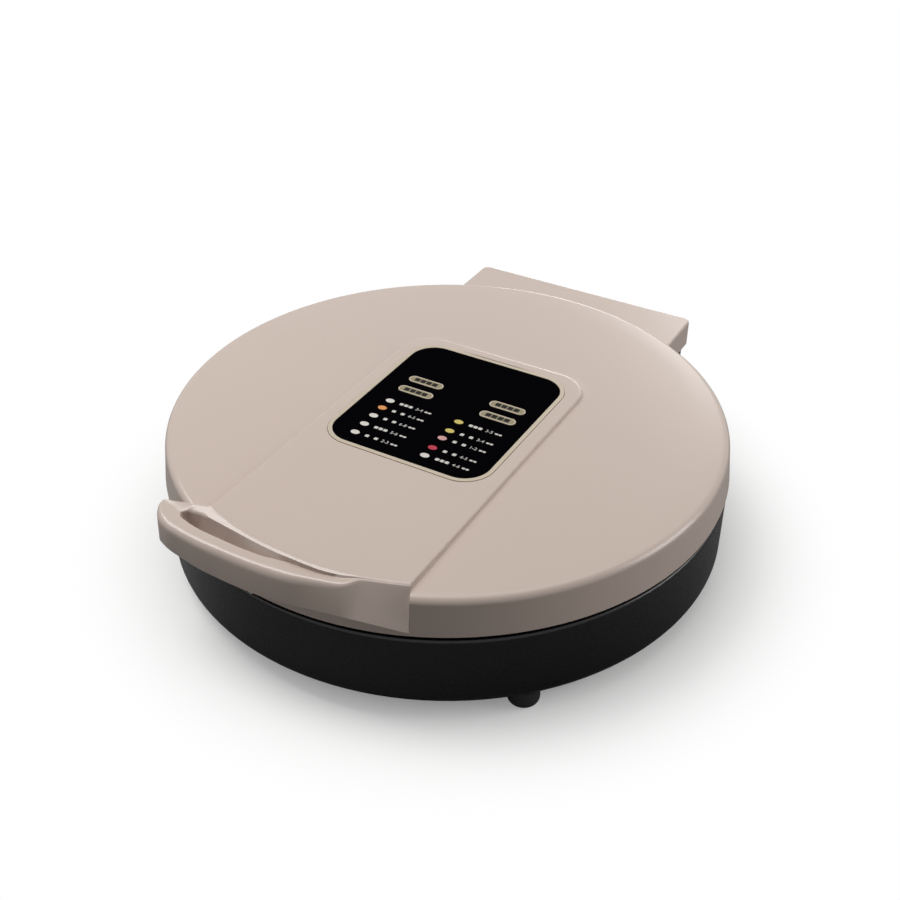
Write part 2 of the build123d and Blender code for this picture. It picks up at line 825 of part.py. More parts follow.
def reflector_screws(upper):
    """Screws that hold a reflector to its posts."""
    z = (upper_reflector_z if upper else lower_reflector_z) + reflector_thickness
    length = reflector_thickness + reflector_screw_bite
    return [
        screw(reflector_screw_radius, reflector_screw_head_radius, reflector_screw_head, length, x, y, z, False)
        for x, y in around(post_count, post_share * reflector_radius)
    ]


def thermostat(upper):
    """Round thermostat on the back of a plate."""
    if upper:
        return disc(thermostat_radius, upper_plate_over, upper_plate_over + thermostat_height, thermostat_x)
    return disc(thermostat_radius, lower_plate_under - thermostat_height, lower_plate_under, thermostat_x)


def fuse(upper):
    """Thermal fuse that lies against the back of a plate."""
    reach = heater_seat + fuse_radius
    z = upper_plate_over + reach if upper else lower_plate_under - reach
    return side_rod(fuse_radius, fuse_x - fuse_length / 2, fuse_x + fuse_length / 2, 0, z)


def hinge_bracket(side):
    """Steel bracket in the rear block whose slot lets the rod rise."""
    top = hinge_z + float_travel + rod_radius + bracket_margin
    inner = arm_thickness / 2 + arm_play
    outer = inner + bracket_wall
    front = hinge_y - bracket_depth / 2
    back = hinge_y + bracket_depth / 2
    solid = block(-outer, outer, front, back, base_floor_top, top)
    solid -= block(-inner, inner, front, back, base_floor_top + bracket_wall, top)
    plate_top = base_floor_top + bracket_wall
    solid += block(-bracket_plate_half, bracket_plate_half, bracket_plate_front, back, base_floor_top, plate_top)
    slot = rod_radius + rod_fit
    solid -= side_rod(slot, -outer, outer, hinge_y, hinge_z)
    solid -= side_rod(slot, -outer, outer, hinge_y, hinge_z + float_travel)
    solid -= block(-outer, outer, hinge_y - slot, hinge_y + slot, hinge_z, hinge_z + float_travel)
    for y in bracket_screw_rows:
        solid -= disc(bracket_screw_radius, base_floor_top, plate_top, 0, y)
    return Pos(side * arm_x, 0, 0) * solid


def bracket_screws():
    """Screws that hold the hinge brackets to the floor of the rear block."""
    length = base_wall + bracket_wall
    return [
        screw(
            bracket_screw_radius, bracket_screw_head_radius, bracket_screw_head, length,
            side * arm_x, y, base_bottom,
        )
        for side in sides.values()
        for y in bracket_screw_rows
    ]


def hinge_rod():
    """Rod that rides up and down in the brackets and carries the arms."""
    return side_rod(rod_radius, -rod_half, rod_half, hinge_y, hinge_z)


def rod_clips():
    """Ring that keeps each end of the rod in its bracket."""
    rings = []
    for side in sides.values():
        near = side * (rod_half - clip_gap - clip_thickness)
        ends = sorted((near, near + side * clip_thickness))
        ring = side_rod(clip_radius, *ends, hinge_y, hinge_z)
        rings.append(ring - side_rod(rod_radius, *ends, hinge_y, hinge_z))
    return rings


def hinge_arm(side):
    """Flat steel arm from the rod up and forwards to the lid's boss."""
    x0, x1 = sorted((side * arm_inner, side * arm_outer))
    back = hinge_y + arm_end_radius
    solid = side_rod(arm_end_radius, x0, x1, hinge_y, hinge_z)
    solid += block(x0, x1, hinge_y - arm_end_radius, back, hinge_z, arm_top)
    solid += block(x0, x1, arm_front, back, arm_bottom, arm_top)
    screw_y, screw_z = arm_screw_place()
    solid -= side_rod(arm_screw_radius, x0, x1, screw_y, screw_z)
    return solid - side_rod(rod_radius + rod_fit, x0, x1, hinge_y, hinge_z)


def arm_screws():
    """Screws that hold the arms to the lid's bosses."""
    screw_y, screw_z = arm_screw_place()
    pieces = []
    for side in sides.values():
        shank = sorted((side * arm_inner, side * (arm_outer + arm_screw_bite)))
        head = sorted((side * (arm_inner - arm_screw_head), side * arm_inner))
        solid = side_rod(arm_screw_radius, *shank, screw_y, screw_z)
        pieces.append(solid + side_rod(arm_screw_head_radius, *head, screw_y, screw_z))
    return pieces


def hinge_cover():
    """Cover behind the lid over the hinge arms, with a pad on each boss."""
    solid = block(-cover_half_width, cover_half_width, 0, cover_back, cover_bottom, cover_top)
    solid = fillet(solid.edges().filter_by(Axis.Z).group_by(Axis.Y)[-1], cover_corner)
    solid = fillet(solid.faces().sort_by(Axis.Z)[-1].edges().group_by(Axis.Y)[1:], cover_edge_radius)
    inner = cover_half_width - cover_wall
    solid -= block(-inner, inner, 0, cover_back - cover_wall, cover_bottom, cover_ceiling)
    for side in sides.values():
        pad = arm_boss(side, arm_boss_top, cover_ceiling) & block(
            -inner, inner, arm_front, cover_back, cover_bottom, cover_top
        )
        solid += pad
        solid -= disc(
            cover_screw_radius, arm_boss_top, arm_boss_top + cover_screw_bite,
            side * cover_screw_x(), cover_screw_y,
        )
    return solid - disc(lid_foot_radius + cover_clearance, 0, lid_rim)


def cover_screws():
    """Screws up through the lid's bosses into the hinge cover's pads."""
    length = arm_boss_top - arm_bottom + cover_screw_bite
    return [
        screw(
            cover_screw_radius, cover_screw_head_radius, cover_screw_head, length,
            side * cover_screw_x(), cover_screw_y, arm_bottom,
        )
        for side in sides.values()
    ]


def inlet_box(grow, near, far):
    """Box of the inlet's body, grown all round, between two distances left of the middle."""
    half_width = inlet_width / 2 + grow
    half_height = inlet_height / 2 + grow
    z = base_bottom + inlet_lift
    return block(-far, -near, inlet_y - half_width, inlet_y + half_width, z - half_height, z + half_height)


def inlet_body():
    """Socket body with its flange against the rear block's left side."""
    back = block_half_width - inlet_depth
    solid = inlet_box(0, back, block_half_width)
    solid += inlet_box(inlet_flange_border, block_half_width, block_half_width + inlet_flange)
    z = base_bottom + inlet_lift
    half_width = inlet_socket_width / 2
    half_height = inlet_socket_height / 2
    floor = block_half_width + inlet_flange - inlet_socket_depth
    far = block_half_width + inlet_flange + cut_over
    solid -= block(-far, -floor, inlet_y - half_width, inlet_y + half_width, z - half_height, z + half_height)
    for y, pin_z in pin_places():
        solid -= pin_bar(y, pin_z)
    return solid


def pin_places():
    """Places of the inlet's three pins: two lines and a raised earth."""
    z = base_bottom + inlet_lift
    return [
        (inlet_y - pin_spacing, z - pin_rise),
        (inlet_y + pin_spacing, z - pin_rise),
        (inlet_y, z + pin_rise),
    ]


def pin_bar(y, z):
    """One inlet pin, from inside the socket to its tail in the rear block."""
    floor = block_half_width + inlet_flange - inlet_socket_depth
    tail = block_half_width - inlet_depth - pin_tail
    half_width = pin_width / 2
    half_height = pin_height / 2
    return block(-floor - pin_length, -tail, y - half_width, y + half_width, z - half_height, z + half_height)


def inlet_pins():
    """The inlet's three pins."""
    return [pin_bar(y, z) for y, z in pin_places()]


def terminal_block():
    """Terminal block on the base's floor."""
    half = terminal_width / 2
    front = terminal_y - terminal_depth / 2
    back = terminal_y + terminal_depth / 2
    return block(-half, half, front, back, base_floor_top, base_floor_top + terminal_height)


def base_lead():
    """Hinge lead's lower half, from the terminal block up to the rear block's top."""
    z = base_floor_top + terminal_height / 2
    start = terminal_y + terminal_depth / 2
    return tube([(0, start, z), (0, lead_y, z), (0, lead_y, block_top)], lead_radius, 2 * lead_bend)


def lid_lead():
    """Hinge lead's upper half, from above the rear block forwards into the lid."""
    z = cover_ceiling - lead_rise
    end = lid_radius - lid_wall
    return tube([(0, lead_y, block_top + lead_gap), (0, lead_y, z), (0, end, z)], lead_radius, lead_bend)


def base_wiring():
    """Wires from the terminal block to the lower heater and the inlet."""
    top = base_floor_top + terminal_height
    wires = []
    for side in sides.values():
        end = pin_line(side, False, heater_pin_length + wire_gap)[1]
        x = side * wire_x
        bend = (x, terminal_y, lower_reflector_z + 2 * wire_hole_radius)
        wires.append(tube([(x, terminal_y, top), bend, end], wire_radius, wire_bend))
    tail = block_half_width - inlet_depth - pin_tail
    for y, z in pin_places()[:2]:
        start = (-tail + wire_gap, y, z)
        end = (-terminal_width / 2 - wire_gap, terminal_y + (y - inlet_y) / 2, top - terminal_height / 2)
        wires.append(bar_between(start, end, wire_radius))
    return wires


def lid_wiring():
    """Wires from the hinge lead over the upper plate's flange to the upper heater."""
    entry_z = upper_flange_top + wire_radius + heater_seat
    step_z = upper_plate_over + 2 * wire_radius + wire_gap / 2
    wires = []
    for side in sides.values():
        end = pin_line(side, True, heater_pin_length + wire_gap)[1]
        x = side * wire_spacing
        points = [
            (x, lid_radius - lid_wall - lead_inner_gap, entry_z),
            (x, ledge_inner, entry_z),
            (x, cook_radius + plate_slope, step_z),
            end,
        ]
        wires.append(tube(points, wire_radius, wire_bend))
    return wires


def build():
    """All nodes by name."""
    nodes = {
        "base_shell": base_shell(),
        "foot_screws": foot_screws(),
        "lower_plate": lower_plate(),
        "lower_plate_screws": plate_screws(False),
        "lower_heater": heater(False),
        "lower_heater_clips": heater_clips(False),
        "lower_reflector": reflector(False),
        "lower_reflector_screws": reflector_screws(False),
        "lower_thermostat": thermostat(False),
        "lower_fuse": fuse(False),
        "terminal_block": terminal_block(),
        "base_wiring": base_wiring(),
        "base_lead": base_lead(),
        "inlet_body": inlet_body(),
        "inlet_pins": inlet_pins(),
        "bracket_screws": bracket_screws(),
        "hinge_rod": hinge_rod(),
        "rod_clips": rod_clips(),
        "lid_shell": lid_shell(),
        "handle_cover": handle_cover(),
        "handle_screws": handle_screws(),
        "panel_bezel": panel_bezel(),
        "control_panel": control_panel(),
        "control_board": control_board(),
        "board_screws": board_screws(),
        "key_switches": key_switches(),
        "upper_plate": upper_plate(),
        "upper_plate_screws": plate_screws(True),
        "upper_heater": heater(True),
        "upper_heater_clips": heater_clips(True),
        "upper_reflector": reflector(True),
        "upper_reflector_screws": reflector_screws(True),
        "upper_thermostat": thermostat(True),
        "upper_fuse": fuse(True),
        "lid_lead": lid_lead(),
        "lid_wiring": lid_wiring(),
        "arm_screws": arm_screws(),
        "hinge_cover": hinge_cover(),
        "cover_screws": cover_screws(),
    }
    for name, (x, y) in foot_places.items():
        nodes[name] = Pos(x, y, 0) * foot()
    for name, (x, y) in key_places.items():
        nodes[name] = key(x, y)
    for name, side in sides.items():
        nodes["hinge_bracket_" + name] = hinge_bracket(side)
        nodes["hinge_arm_" + name] = hinge_arm(side)
    return nodes


def main():
    """Write each node to its own file, with the origin under the middle of the part."""
    nodes = {}
    for name, shape in build().items():
        solids = shape if isinstance(shape, list) else [shape]
        nodes[name] = Compound(children=[solid for piece in solids for solid in piece.solids()])
    box = Compound(children=[copy for node in nodes.values() for copy in node.solids()]).bounding_box()
    shift = Pos(-box.center().X, -box.center().Y, -box.min.Z)
    print("shift", -box.center().X, -box.center().Y, -box.min.Z)
    os.makedirs("parts", exist_ok=True)
    for name, node in nodes.items():
        moved = Compound(children=[shift * solid for solid in node.solids()])
        export_step(moved, f"parts/{name}.step")


main()
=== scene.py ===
"""Looks of an electric double griddle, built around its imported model.

Every size is in metres in the model's frame: +X to the right seen from the
handle, +Y to the hinge and +Z up from the worktop. Each operator makes one
piece, or a group of like pieces, or gives the model's own pieces their finish.
"""

import math

import bpy
import numpy as np
from bpy.props import FloatProperty, FloatVectorProperty, PointerProperty
from bpy.types import Operator, Panel, PropertyGroup
from mathutils import Matrix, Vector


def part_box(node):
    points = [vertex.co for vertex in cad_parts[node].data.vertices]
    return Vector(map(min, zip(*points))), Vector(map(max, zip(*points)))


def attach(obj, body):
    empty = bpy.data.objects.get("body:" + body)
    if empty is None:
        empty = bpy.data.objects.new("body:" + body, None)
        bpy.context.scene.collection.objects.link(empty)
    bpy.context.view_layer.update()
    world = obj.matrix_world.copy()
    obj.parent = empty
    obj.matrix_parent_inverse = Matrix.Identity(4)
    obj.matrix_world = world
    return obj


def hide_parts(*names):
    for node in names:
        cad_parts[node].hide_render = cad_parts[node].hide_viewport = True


bl_info = {
    "name": "Electric double griddle",
    "version": (1, 0, 0),
    "blender": (4, 5, 0),
    "location": "View3D > Sidebar > Griddle",
    "description": "Finishes, panel marks and studio of an electric double griddle",
    "category": "Object",
}

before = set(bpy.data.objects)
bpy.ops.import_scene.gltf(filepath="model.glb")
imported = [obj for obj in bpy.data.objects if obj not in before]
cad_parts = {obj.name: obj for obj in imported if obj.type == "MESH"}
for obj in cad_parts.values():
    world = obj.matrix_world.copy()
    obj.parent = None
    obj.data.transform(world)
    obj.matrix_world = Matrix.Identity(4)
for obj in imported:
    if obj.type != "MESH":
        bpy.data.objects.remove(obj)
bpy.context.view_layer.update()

MM = 0.001
PANEL_LOW, PANEL_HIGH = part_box("control_panel")
PANEL_MID_Y = (PANEL_LOW.y + PANEL_HIGH.y) / 2
PANEL_TOP = PANEL_HIGH.z
# The plates' axis stands this far in front of the middle of the whole part.
AXIS_Y = PANEL_MID_Y - 1.0 * MM


def linear(hex_colour):
    """Linear colour of an sRGB hex value: c / 12.92 up to 0.04045, and ((c + 0.055) / 1.055) ** 2.4 above."""
    shares = [int(hex_colour[i:i + 2], 16) / 255 for i in (1, 3, 5)]
    return [c / 12.92 if c <= 0.04045 else ((c + 0.055) / 1.055) ** 2.4 for c in shares]


def colour(name, description, hex_colour):
    """Colour property whose default is an sRGB hex value."""
    return FloatVectorProperty(
        name=name, description=description, subtype="COLOR", size=3, min=0.0, max=1.0, default=linear(hex_colour)
    )


def length(name, description, millimetres):
    """Length property whose default is in millimetres."""
    return FloatProperty(name=name, description=description, unit="LENGTH", precision=5, default=millimetres * MM)


def power(name, lamp, watts):
    """Power property of a lamp, in watts."""
    return FloatProperty(name=name, description=f"Power of the {lamp} softbox", unit="POWER", default=watts)


class GriddleFinishes(PropertyGroup):
    """Colours of the griddle's mouldings, panel, plates and inner parts."""

    champagne: colour("Lid", "Champagne ABS of the lid, handle and hinge cover", "#C6B5AA")
    black: colour("Base", "Black ABS of the base", "#0B0A0C")
    panel: colour("Panel", "Back-painted panel", "#060507")
    gold: colour("Bezel", "Pale gold of the bezel", "#BFB29E")
    key: colour("Keys", "Pale gold paint of the keys' faces", "#8A7F60")
    print_white: colour("Print", "White print on the panel", "#CBC8C2")
    print_dark: colour("Key print", "Dark print on the keys", "#0E0B06")
    coating: colour("Coating", "Non-stick coating of the plates", "#2A2A2C")
    rubber: colour("Feet", "Rubber of the feet", "#161616")
    wire: colour("Wires", "Silicone sleeves of the wires", "#8E2E20")


class GriddleSizes(PropertyGroup):
    """Sizes of the marks and the grain of the finishes."""

    mark_height: length("Mark", "Height of the small marks in a row", 2.4)
    mark_thickness: length("Print thickness", "Thickness of the print", 0.02)
    key_sink: length("Key print depth", "Depth of the print let into each key", 0.015)
    key_margin: length("Key margin", "From the key's hidden flange in to its painted face, past the plain rim", 1.75)
    icon_width: length("Icon", "Width of the icon at the start of a row", 6.0)
    moulded_grain: length("Moulded grain", "Grain of the moulded surfaces, drawn coarse enough to show", 0.9)


class GriddleStudio(PropertyGroup):
    """Light and floor of the studio."""

    key_power: power("Key", "main", 14.0)
    overhead_power: power("Overhead", "overhead", 5.0)
    front_power: power("Front", "front left", 0.5)
    right_power: power("Right", "right", 8.0)
    back_power: power("Back", "back", 2.6)
    ambient: FloatProperty(name="Ambient", description="Strength of the even light all round", default=0.13)
    floor_bounce: FloatProperty(name="Floor bounce", description="Share of light that the floor returns", default=0.27)
    floor: colour("Floor", "Plain floor", "#F4F3F1")


def add(tree, kind, inputs=(), **settings):
    """Adds a node: inputs given as sockets are linked and others are set, and settings are the node's own."""
    node = tree.nodes.new(kind)
    for name, value in settings.items():
        setattr(node, name, value)
    for name, value in dict(inputs).items():
        if isinstance(value, bpy.types.NodeSocket):
            tree.links.new(value, node.inputs[name])
        else:
            node.inputs[name].default_value = value
    return node


def new_finish(name):
    """Empty material with its shader, and the piece's own coordinates in metres."""
    material = bpy.data.materials.new(name)
    material.use_nodes = True
    tree = material.node_tree
    tree.nodes.clear()
    place = add(tree, "ShaderNodeTexCoord").outputs["Object"]
    shader = add(tree, "ShaderNodeBsdfPrincipled")
    add(tree, "ShaderNodeOutputMaterial", {"Surface": shader.outputs[0]})
    return material, tree, place, shader


def finish_skin(tree, place, shader, base, shade, mottle, grain, depth, rough, rough_shift):
    """Gives a shader a slow mottle of colour and roughness and a fine bumped grain, all from sizes in metres."""
    cloud = add(tree, "ShaderNodeTexNoise", {"Vector": place, "Scale": 1 / mottle, "Detail": 3.0})
    dark = [c * (1 - shade) for c in base] + [1.0]
    light = [min(c * (1 + shade), 1.0) for c in base] + [1.0]
    tone = add(tree, "ShaderNodeMix", {0: cloud.outputs["Fac"], 6: dark, 7: light}, data_type="RGBA")
    tree.links.new(tone.outputs[2], shader.inputs["Base Color"])
    fine = add(tree, "ShaderNodeTexNoise", {"Vector": place, "Scale": 1 / grain, "Detail": 2.0})
    gloss = add(
        tree, "ShaderNodeMapRange",
        {"Value": fine.outputs["Fac"], "To Min": rough - rough_shift, "To Max": rough + rough_shift},
    )
    tree.links.new(gloss.outputs[0], shader.inputs["Roughness"])
    bump = add(tree, "ShaderNodeBump", {"Height": fine.outputs["Fac"], "Distance": depth, "Strength": 1.0})
    tree.links.new(bump.outputs[0], shader.inputs["Normal"])
    return tone


def champagne_abs(finishes, sizes):
    """ABS moulded in a finely eroded tool and sprayed champagne: satin, with a wide highlight and a faint grain."""
    material, tree, place, shader = new_finish("champagne_moulded_abs")
    finish_skin(tree, place, shader, finishes.champagne, 0.02, 90 * MM, sizes.moulded_grain, 0.002 * MM, 0.25, 0.03)
    shader.inputs["IOR"].default_value = 1.53
    shader.inputs["Specular IOR Level"].default_value = 0.5
    return material


def black_abs(finishes, sizes):
    """Black ABS moulded in a polished tool: deep black with a clear but soft highlight along its edges."""
    material, tree, place, shader = new_finish("black_moulded_abs")
    finish_skin(tree, place, shader, finishes.black, 0.10, 60 * MM, sizes.moulded_grain, 0.0015 * MM, 0.27, 0.02)
    shader.inputs["IOR"].default_value = 1.53
    shader.inputs["Specular IOR Level"].default_value = 0.3
    return material


def panel_sheet(finishes):
    """Polycarbonate sheet painted black behind: a hard gloss with slight waviness, so that the light breaks softly."""
    material, tree, place, shader = new_finish("back_painted_polycarbonate")
    finish_skin(tree, place, shader, finishes.panel, 0.08, 40 * MM, 6 * MM, 0.004 * MM, 0.10, 0.015)
    shader.inputs["IOR"].default_value = 1.58
    shader.inputs["Specular IOR Level"].default_value = 0.0
    return material


def gold_plating(finishes):
    """Plastic with pale gold satin plating: a metal's glow, dulled by a fine brushed-like haze."""
    material, tree, place, shader = new_finish("pale_gold_plating")
    finish_skin(tree, place, shader, finishes.gold, 0.04, 12 * MM, 0.8 * MM, 0.002 * MM, 0.34, 0.05)
    shader.inputs["Metallic"].default_value = 0.25
    return material


def key_paint(finishes):
    """Keys sprayed pale gold: satin paint with a very fine metal flake that gives a slight glow."""
    material, tree, place, shader = new_finish("pale_gold_key_paint")
    finish_skin(tree, place, shader, finishes.key, 0.05, 4 * MM, 0.5 * MM, 0.002 * MM, 0.38, 0.05)
    shader.inputs["Metallic"].default_value = 0.15
    return material


def screen_ink(name, base):
    """Screen ink on plastic: flat colour with a dry edge, a little uneven where the mesh laid it thinner."""
    material, tree, place, shader = new_finish(name)
    finish_skin(tree, place, shader, base, 0.06, 3 * MM, 0.4 * MM, 0.001 * MM, 0.45, 0.04)
    shader.inputs["Specular IOR Level"].default_value = 0.1
    return material


def foot_rubber(finishes):
    """Moulded rubber: dull black that greys where dust settles, with a fine tooth."""
    material, tree, place, shader = new_finish("moulded_rubber")
    finish_skin(tree, place, shader, finishes.rubber, 0.25, 8 * MM, 0.7 * MM, 0.02 * MM, 0.62, 0.06)
    return material


def nonstick_coating(finishes):
    """Sprayed non-stick coat on die-cast aluminium: dark satin with pale flecks and a slight orange peel."""
    material, tree, place, shader = new_finish("nonstick_on_cast_aluminium")
    tone = finish_skin(tree, place, shader, finishes.coating, 0.08, 50 * MM, 1.6 * MM, 0.012 * MM, 0.42, 0.05)
    # The flecks are about 0.3 mm and are drawn at 1.1 mm so that they show at arm's length.
    fleck = add(tree, "ShaderNodeTexVoronoi", {"Vector": place, "Scale": 1 / (2.2 * MM)})
    spot = add(
        tree, "ShaderNodeMapRange",
        {"Value": fleck.outputs["Distance"], "From Min": 0.10, "From Max": 0.16, "To Min": 0.55, "To Max": 0.0},
    )
    speckled = add(
        tree, "ShaderNodeMix",
        {0: spot.outputs[0], 6: tone.outputs[2], 7: linear("#8A8A8C") + [1.0]}, data_type="RGBA",
    )
    tree.links.new(speckled.outputs[2], shader.inputs["Base Color"])
    return material


def bare_metal(name, hex_colour, rough, mottle_mm, grain_mm):
    """Bare metal with cloudy tone and fine marks left by how it was drawn, rolled or plated."""
    material, tree, place, shader = new_finish(name)
    finish_skin(tree, place, shader, linear(hex_colour), 0.10, mottle_mm * MM, grain_mm * MM, 0.004 * MM, rough, 0.08)
    shader.inputs["Metallic"].default_value = 1.0
    return material


def dull_solid(name, base, rough, mottle_mm, grain_mm):
    """Dull electrical material, such as steatite, laminate or silicone, with a fine dry grain."""
    material, tree, place, shader = new_finish(name)
    finish_skin(tree, place, shader, base, 0.08, mottle_mm * MM, grain_mm * MM, 0.01 * MM, rough, 0.06)
    return material


def cover(nodes, material):
    """Gives the model's own pieces a finish."""
    for node in nodes:
        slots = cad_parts[node].data.materials
        slots.clear()
        slots.append(material)


def piece(name, vertices, faces, material, body, slot, smooth=False):
    """New closed piece from whole arrays of corners and faces, riding on a body."""
    mesh = bpy.data.meshes.new(name)
    mesh.from_pydata(vertices.tolist(), [], faces)
    mesh.polygons.foreach_set("use_smooth", [smooth] * len(mesh.polygons))
    mesh.materials.append(material)
    mesh.validate()
    obj = bpy.data.objects.new(name, mesh)
    bpy.context.scene.collection.objects.link(obj)
    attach(obj, body)
    return obj


def plates(outlines, bottom, top):
    """Thin closed plates: each outline of n points gives two rings and two caps, its walls join ring to ring."""
    vertices, faces = [], []
    for outline in outlines:
        n, start = len(outline), sum(len(v) for v in vertices)
        low = np.column_stack([outline, np.full(n, bottom)])
        high = np.column_stack([outline, np.full(n, top)])
        vertices.append(np.vstack([low, high]))
        around = np.arange(n)
        after = np.roll(around, -1)
        walls = np.column_stack([around, after, after + n, around + n]) + start
        faces += walls.tolist()
        faces.append((around[::-1] + start).tolist())
        faces.append((around + n + start).tolist())
    return np.vstack(vertices), faces


def rounded_bar(x, y, width, height, corner, steps=6):
    """Outline of a bar with round corners: four quarter circles of a radius about points set in from its corners."""
    turn = np.linspace(0, np.pi / 2, steps)
    quarters = (turn[None, :] + np.arange(4)[:, None] * np.pi / 2).ravel()
    side_x = np.repeat([1, -1, -1, 1], steps) * (width / 2 - corner)
    side_y = np.repeat([1, 1, -1, -1], steps) * (height / 2 - corner)
    return np.column_stack([x + side_x + corner * np.cos(quarters), y + side_y + corner * np.sin(quarters)])


def oval(x, y, width, height, steps=28):
    """Outline of an ellipse, run counter-clockwise."""
    turn = np.linspace(0, 2 * np.pi, steps, endpoint=False)
    return np.column_stack([x + width / 2 * np.cos(turn), y + height / 2 * np.sin(turn)])


# Rows on the panel, from the middle of the part and from the plates' axis, in millimetres: the icon's colour, the gaps
# between the small marks after it, and the time that the row gives.
LEFT_ICON_X, RIGHT_ICON_X = -36.5, 13.0
LEFT_ROWS = [
    (-9.7, "white", 3, "3-4"), (-19.0, "orange", 2, "4-5"), (-29.1, "white", 2, "6-8"),
    (-39.6, "white", 3, "5-6"), (-50.0, "white", 2, "2-3"),
]
RIGHT_ROWS = [
    (-8.9, "gold", 3, "3-5"), (-20.1, "gold", 2, "3-4"), (-29.2, "rose", 2, "1-2"),
    (-40.8, "red", 2, "4-5"), (-50.0, "white", 3, "4-6"),
]
ICON_COLOURS = {"white": "#D5D1CA", "orange": "#D9925A", "gold": "#C9B86A", "rose": "#C79A98", "red": "#B43A4C"}
# Along a row from its icon's middle, in millimetres: the first small mark, the steps between 3 or 2 marks, the time and
# the two short marks of its unit. A mark's size is its width, its height where it is set here, and its corner.
FIRST_MARK, MARK_STEPS, TIME_PLACE, UNIT_PLACES = 8.6, {3: 3.3, 2: 6.4}, 18.9, (26.6, 29.1)
MARK_WIDTH, MARK_CORNER, UNIT_WIDTH, UNIT_HEIGHT, UNIT_CORNER, UNIT_DROP = 2.6, 0.5, 2.1, 1.5, 0.4, 0.2
TIME_HEIGHT, ICON_HEIGHT_SHARE, FONT_SIZE_SHARE = 2.7, 0.72, 1.45
# Print on a key, in millimetres: four square marks, their step and corner.
KEY_MARK_STEP, KEY_MARK_SIDE, KEY_MARK_CORNER = 4.3, 3.7, 0.5


def row_marks(icon_x, y, marks, height):
    """Outlines of the short marks after an icon: 3 close together, or 2 with a wider gap between them."""
    places = (icon_x + FIRST_MARK) * MM + MARK_STEPS[marks] * MM * np.arange(marks)
    return [rounded_bar(x, AXIS_Y + y * MM, MARK_WIDTH * MM, height, MARK_CORNER * MM) for x in places]


def number_mesh(text, x, y, height, bottom, thickness):
    """Mesh of a plain number, from a curve of text that is made a mesh and then moved to its place."""
    curve = bpy.data.curves.new("number", "FONT")
    curve.body = text
    curve.size = height * FONT_SIZE_SHARE
    curve.extrude = thickness / 2
    curve.resolution_u = 3
    text_object = bpy.data.objects.new("number", curve)
    mesh = bpy.data.meshes.new_from_object(text_object)
    bpy.data.objects.remove(text_object)
    mesh.transform(Matrix.Translation((x, y - height / 2, bottom + thickness / 2)))
    return mesh


# Lid moulding in millimetres, as polar places about the plates' axis: angles run from the front towards +X, and reaches
# are shares of the lid's radius.
LID_RADIUS = 175.0
LID_FOOT = 177.6
LID_LOW, LID_RIM, BAND_TOP, LID_WALL = 60.6, 85.0, 88.3, 2.6
# Heights are drawn for a panel at the band's top, and go up with the panel.
LIFT = PANEL_TOP - BAND_TOP * MM
EDGE_RADIUS, EDGE_START, EDGE_TURN = 4.8, 170.7, 84.0
TIP_ANGLE, LEFT_CORNER, CORNER_ANGLE, RECESS_LEFT, RECESS_RIGHT = -31.1, -23.396, 23.35, -26.3, 9.5
WEB_TOP, GRIP_FOOT = 67.3, 67.0
# Rectangles about the axis, each by its half width, front, back and corner: the bezel's pocket, the band and the window
# under the panel.
POCKET, BAND, WINDOW = (56.9, -63.9, 65.9, 19.9), (66.0, -400.0, 74.0, 22.0), (46.0, -53.0, 55.0, 9.0)
POCKET_FLOOR, WINDOW_FOOT = 85.8, 83.6
# Heights of the underside at the wall and inside it, and the reach of its step.
UNDERSIDE, UNDERSIDE_IN, UNDERSIDE_STEP = 82.3, 82.6, 160.0
# The band's top starts this far inside its edge. The pocket's brim has a width and a rounding, and the plain wall's
# corners lie between two heights.
BAND_INSET, BRIM, BRIM_ROUND, WALL_HEIGHTS = 8.0, 0.8, 0.25, (78.5, 62.5)
# How far each corner of a profile is rounded before and after it, from the wall to the window: of the outer face before
# and after the wing's own corner, of the outer face's last two corners, and of the underside.
WALL_ROUNDS, RECESS_ROUNDS, FOOT_ROUNDS = [0.1, 0.1], [1.6, 2.0, 0.6, 0.9], [0.9, 0.8]
UNDERSIDE_ROUNDS = [0.5, 0.5, 3.0, 1.0, 0.5, 0.2, 0.2]
# Angles and, at each, the height of the wing's back edge, the share of the recess's width that its floor's back corner
# lies forward, and the roundness of the band's edge at its sides and front and of the bar's outer edge.
WING_TOP = ([-31.1, -30.3, -26.4, -24.0, LEFT_CORNER], [85.3, 85.9, 87.3, 88.1, 88.3])
SCOOP_SHARES = ([-26.0, -20.0, -14.0, -8.0, 9.0], [0.25, 0.42, 0.66, 0.85, 0.9])
SIDE_ROUND = ([-250.0, -230.0, -110.0], [1.6, 2.8, 2.4])
FRONT_ROUND = ([LEFT_CORNER, -21.0, 5.0], [0.9, 1.5, 1.5])
BAR_ROUND = ([-31.0, -29.0, 2.0, 8.0, 13.0, 17.0], [3.0, 5.6, 5.0, 3.2, 2.1, 2.0])
# The wing's back edge is a straight line: its distance from the axis at the front, and its slope.
WING_LINE, WING_SLOPE, WING_CURL, CURL_ANGLE = 141.13, 0.173, 1.9, 0.16
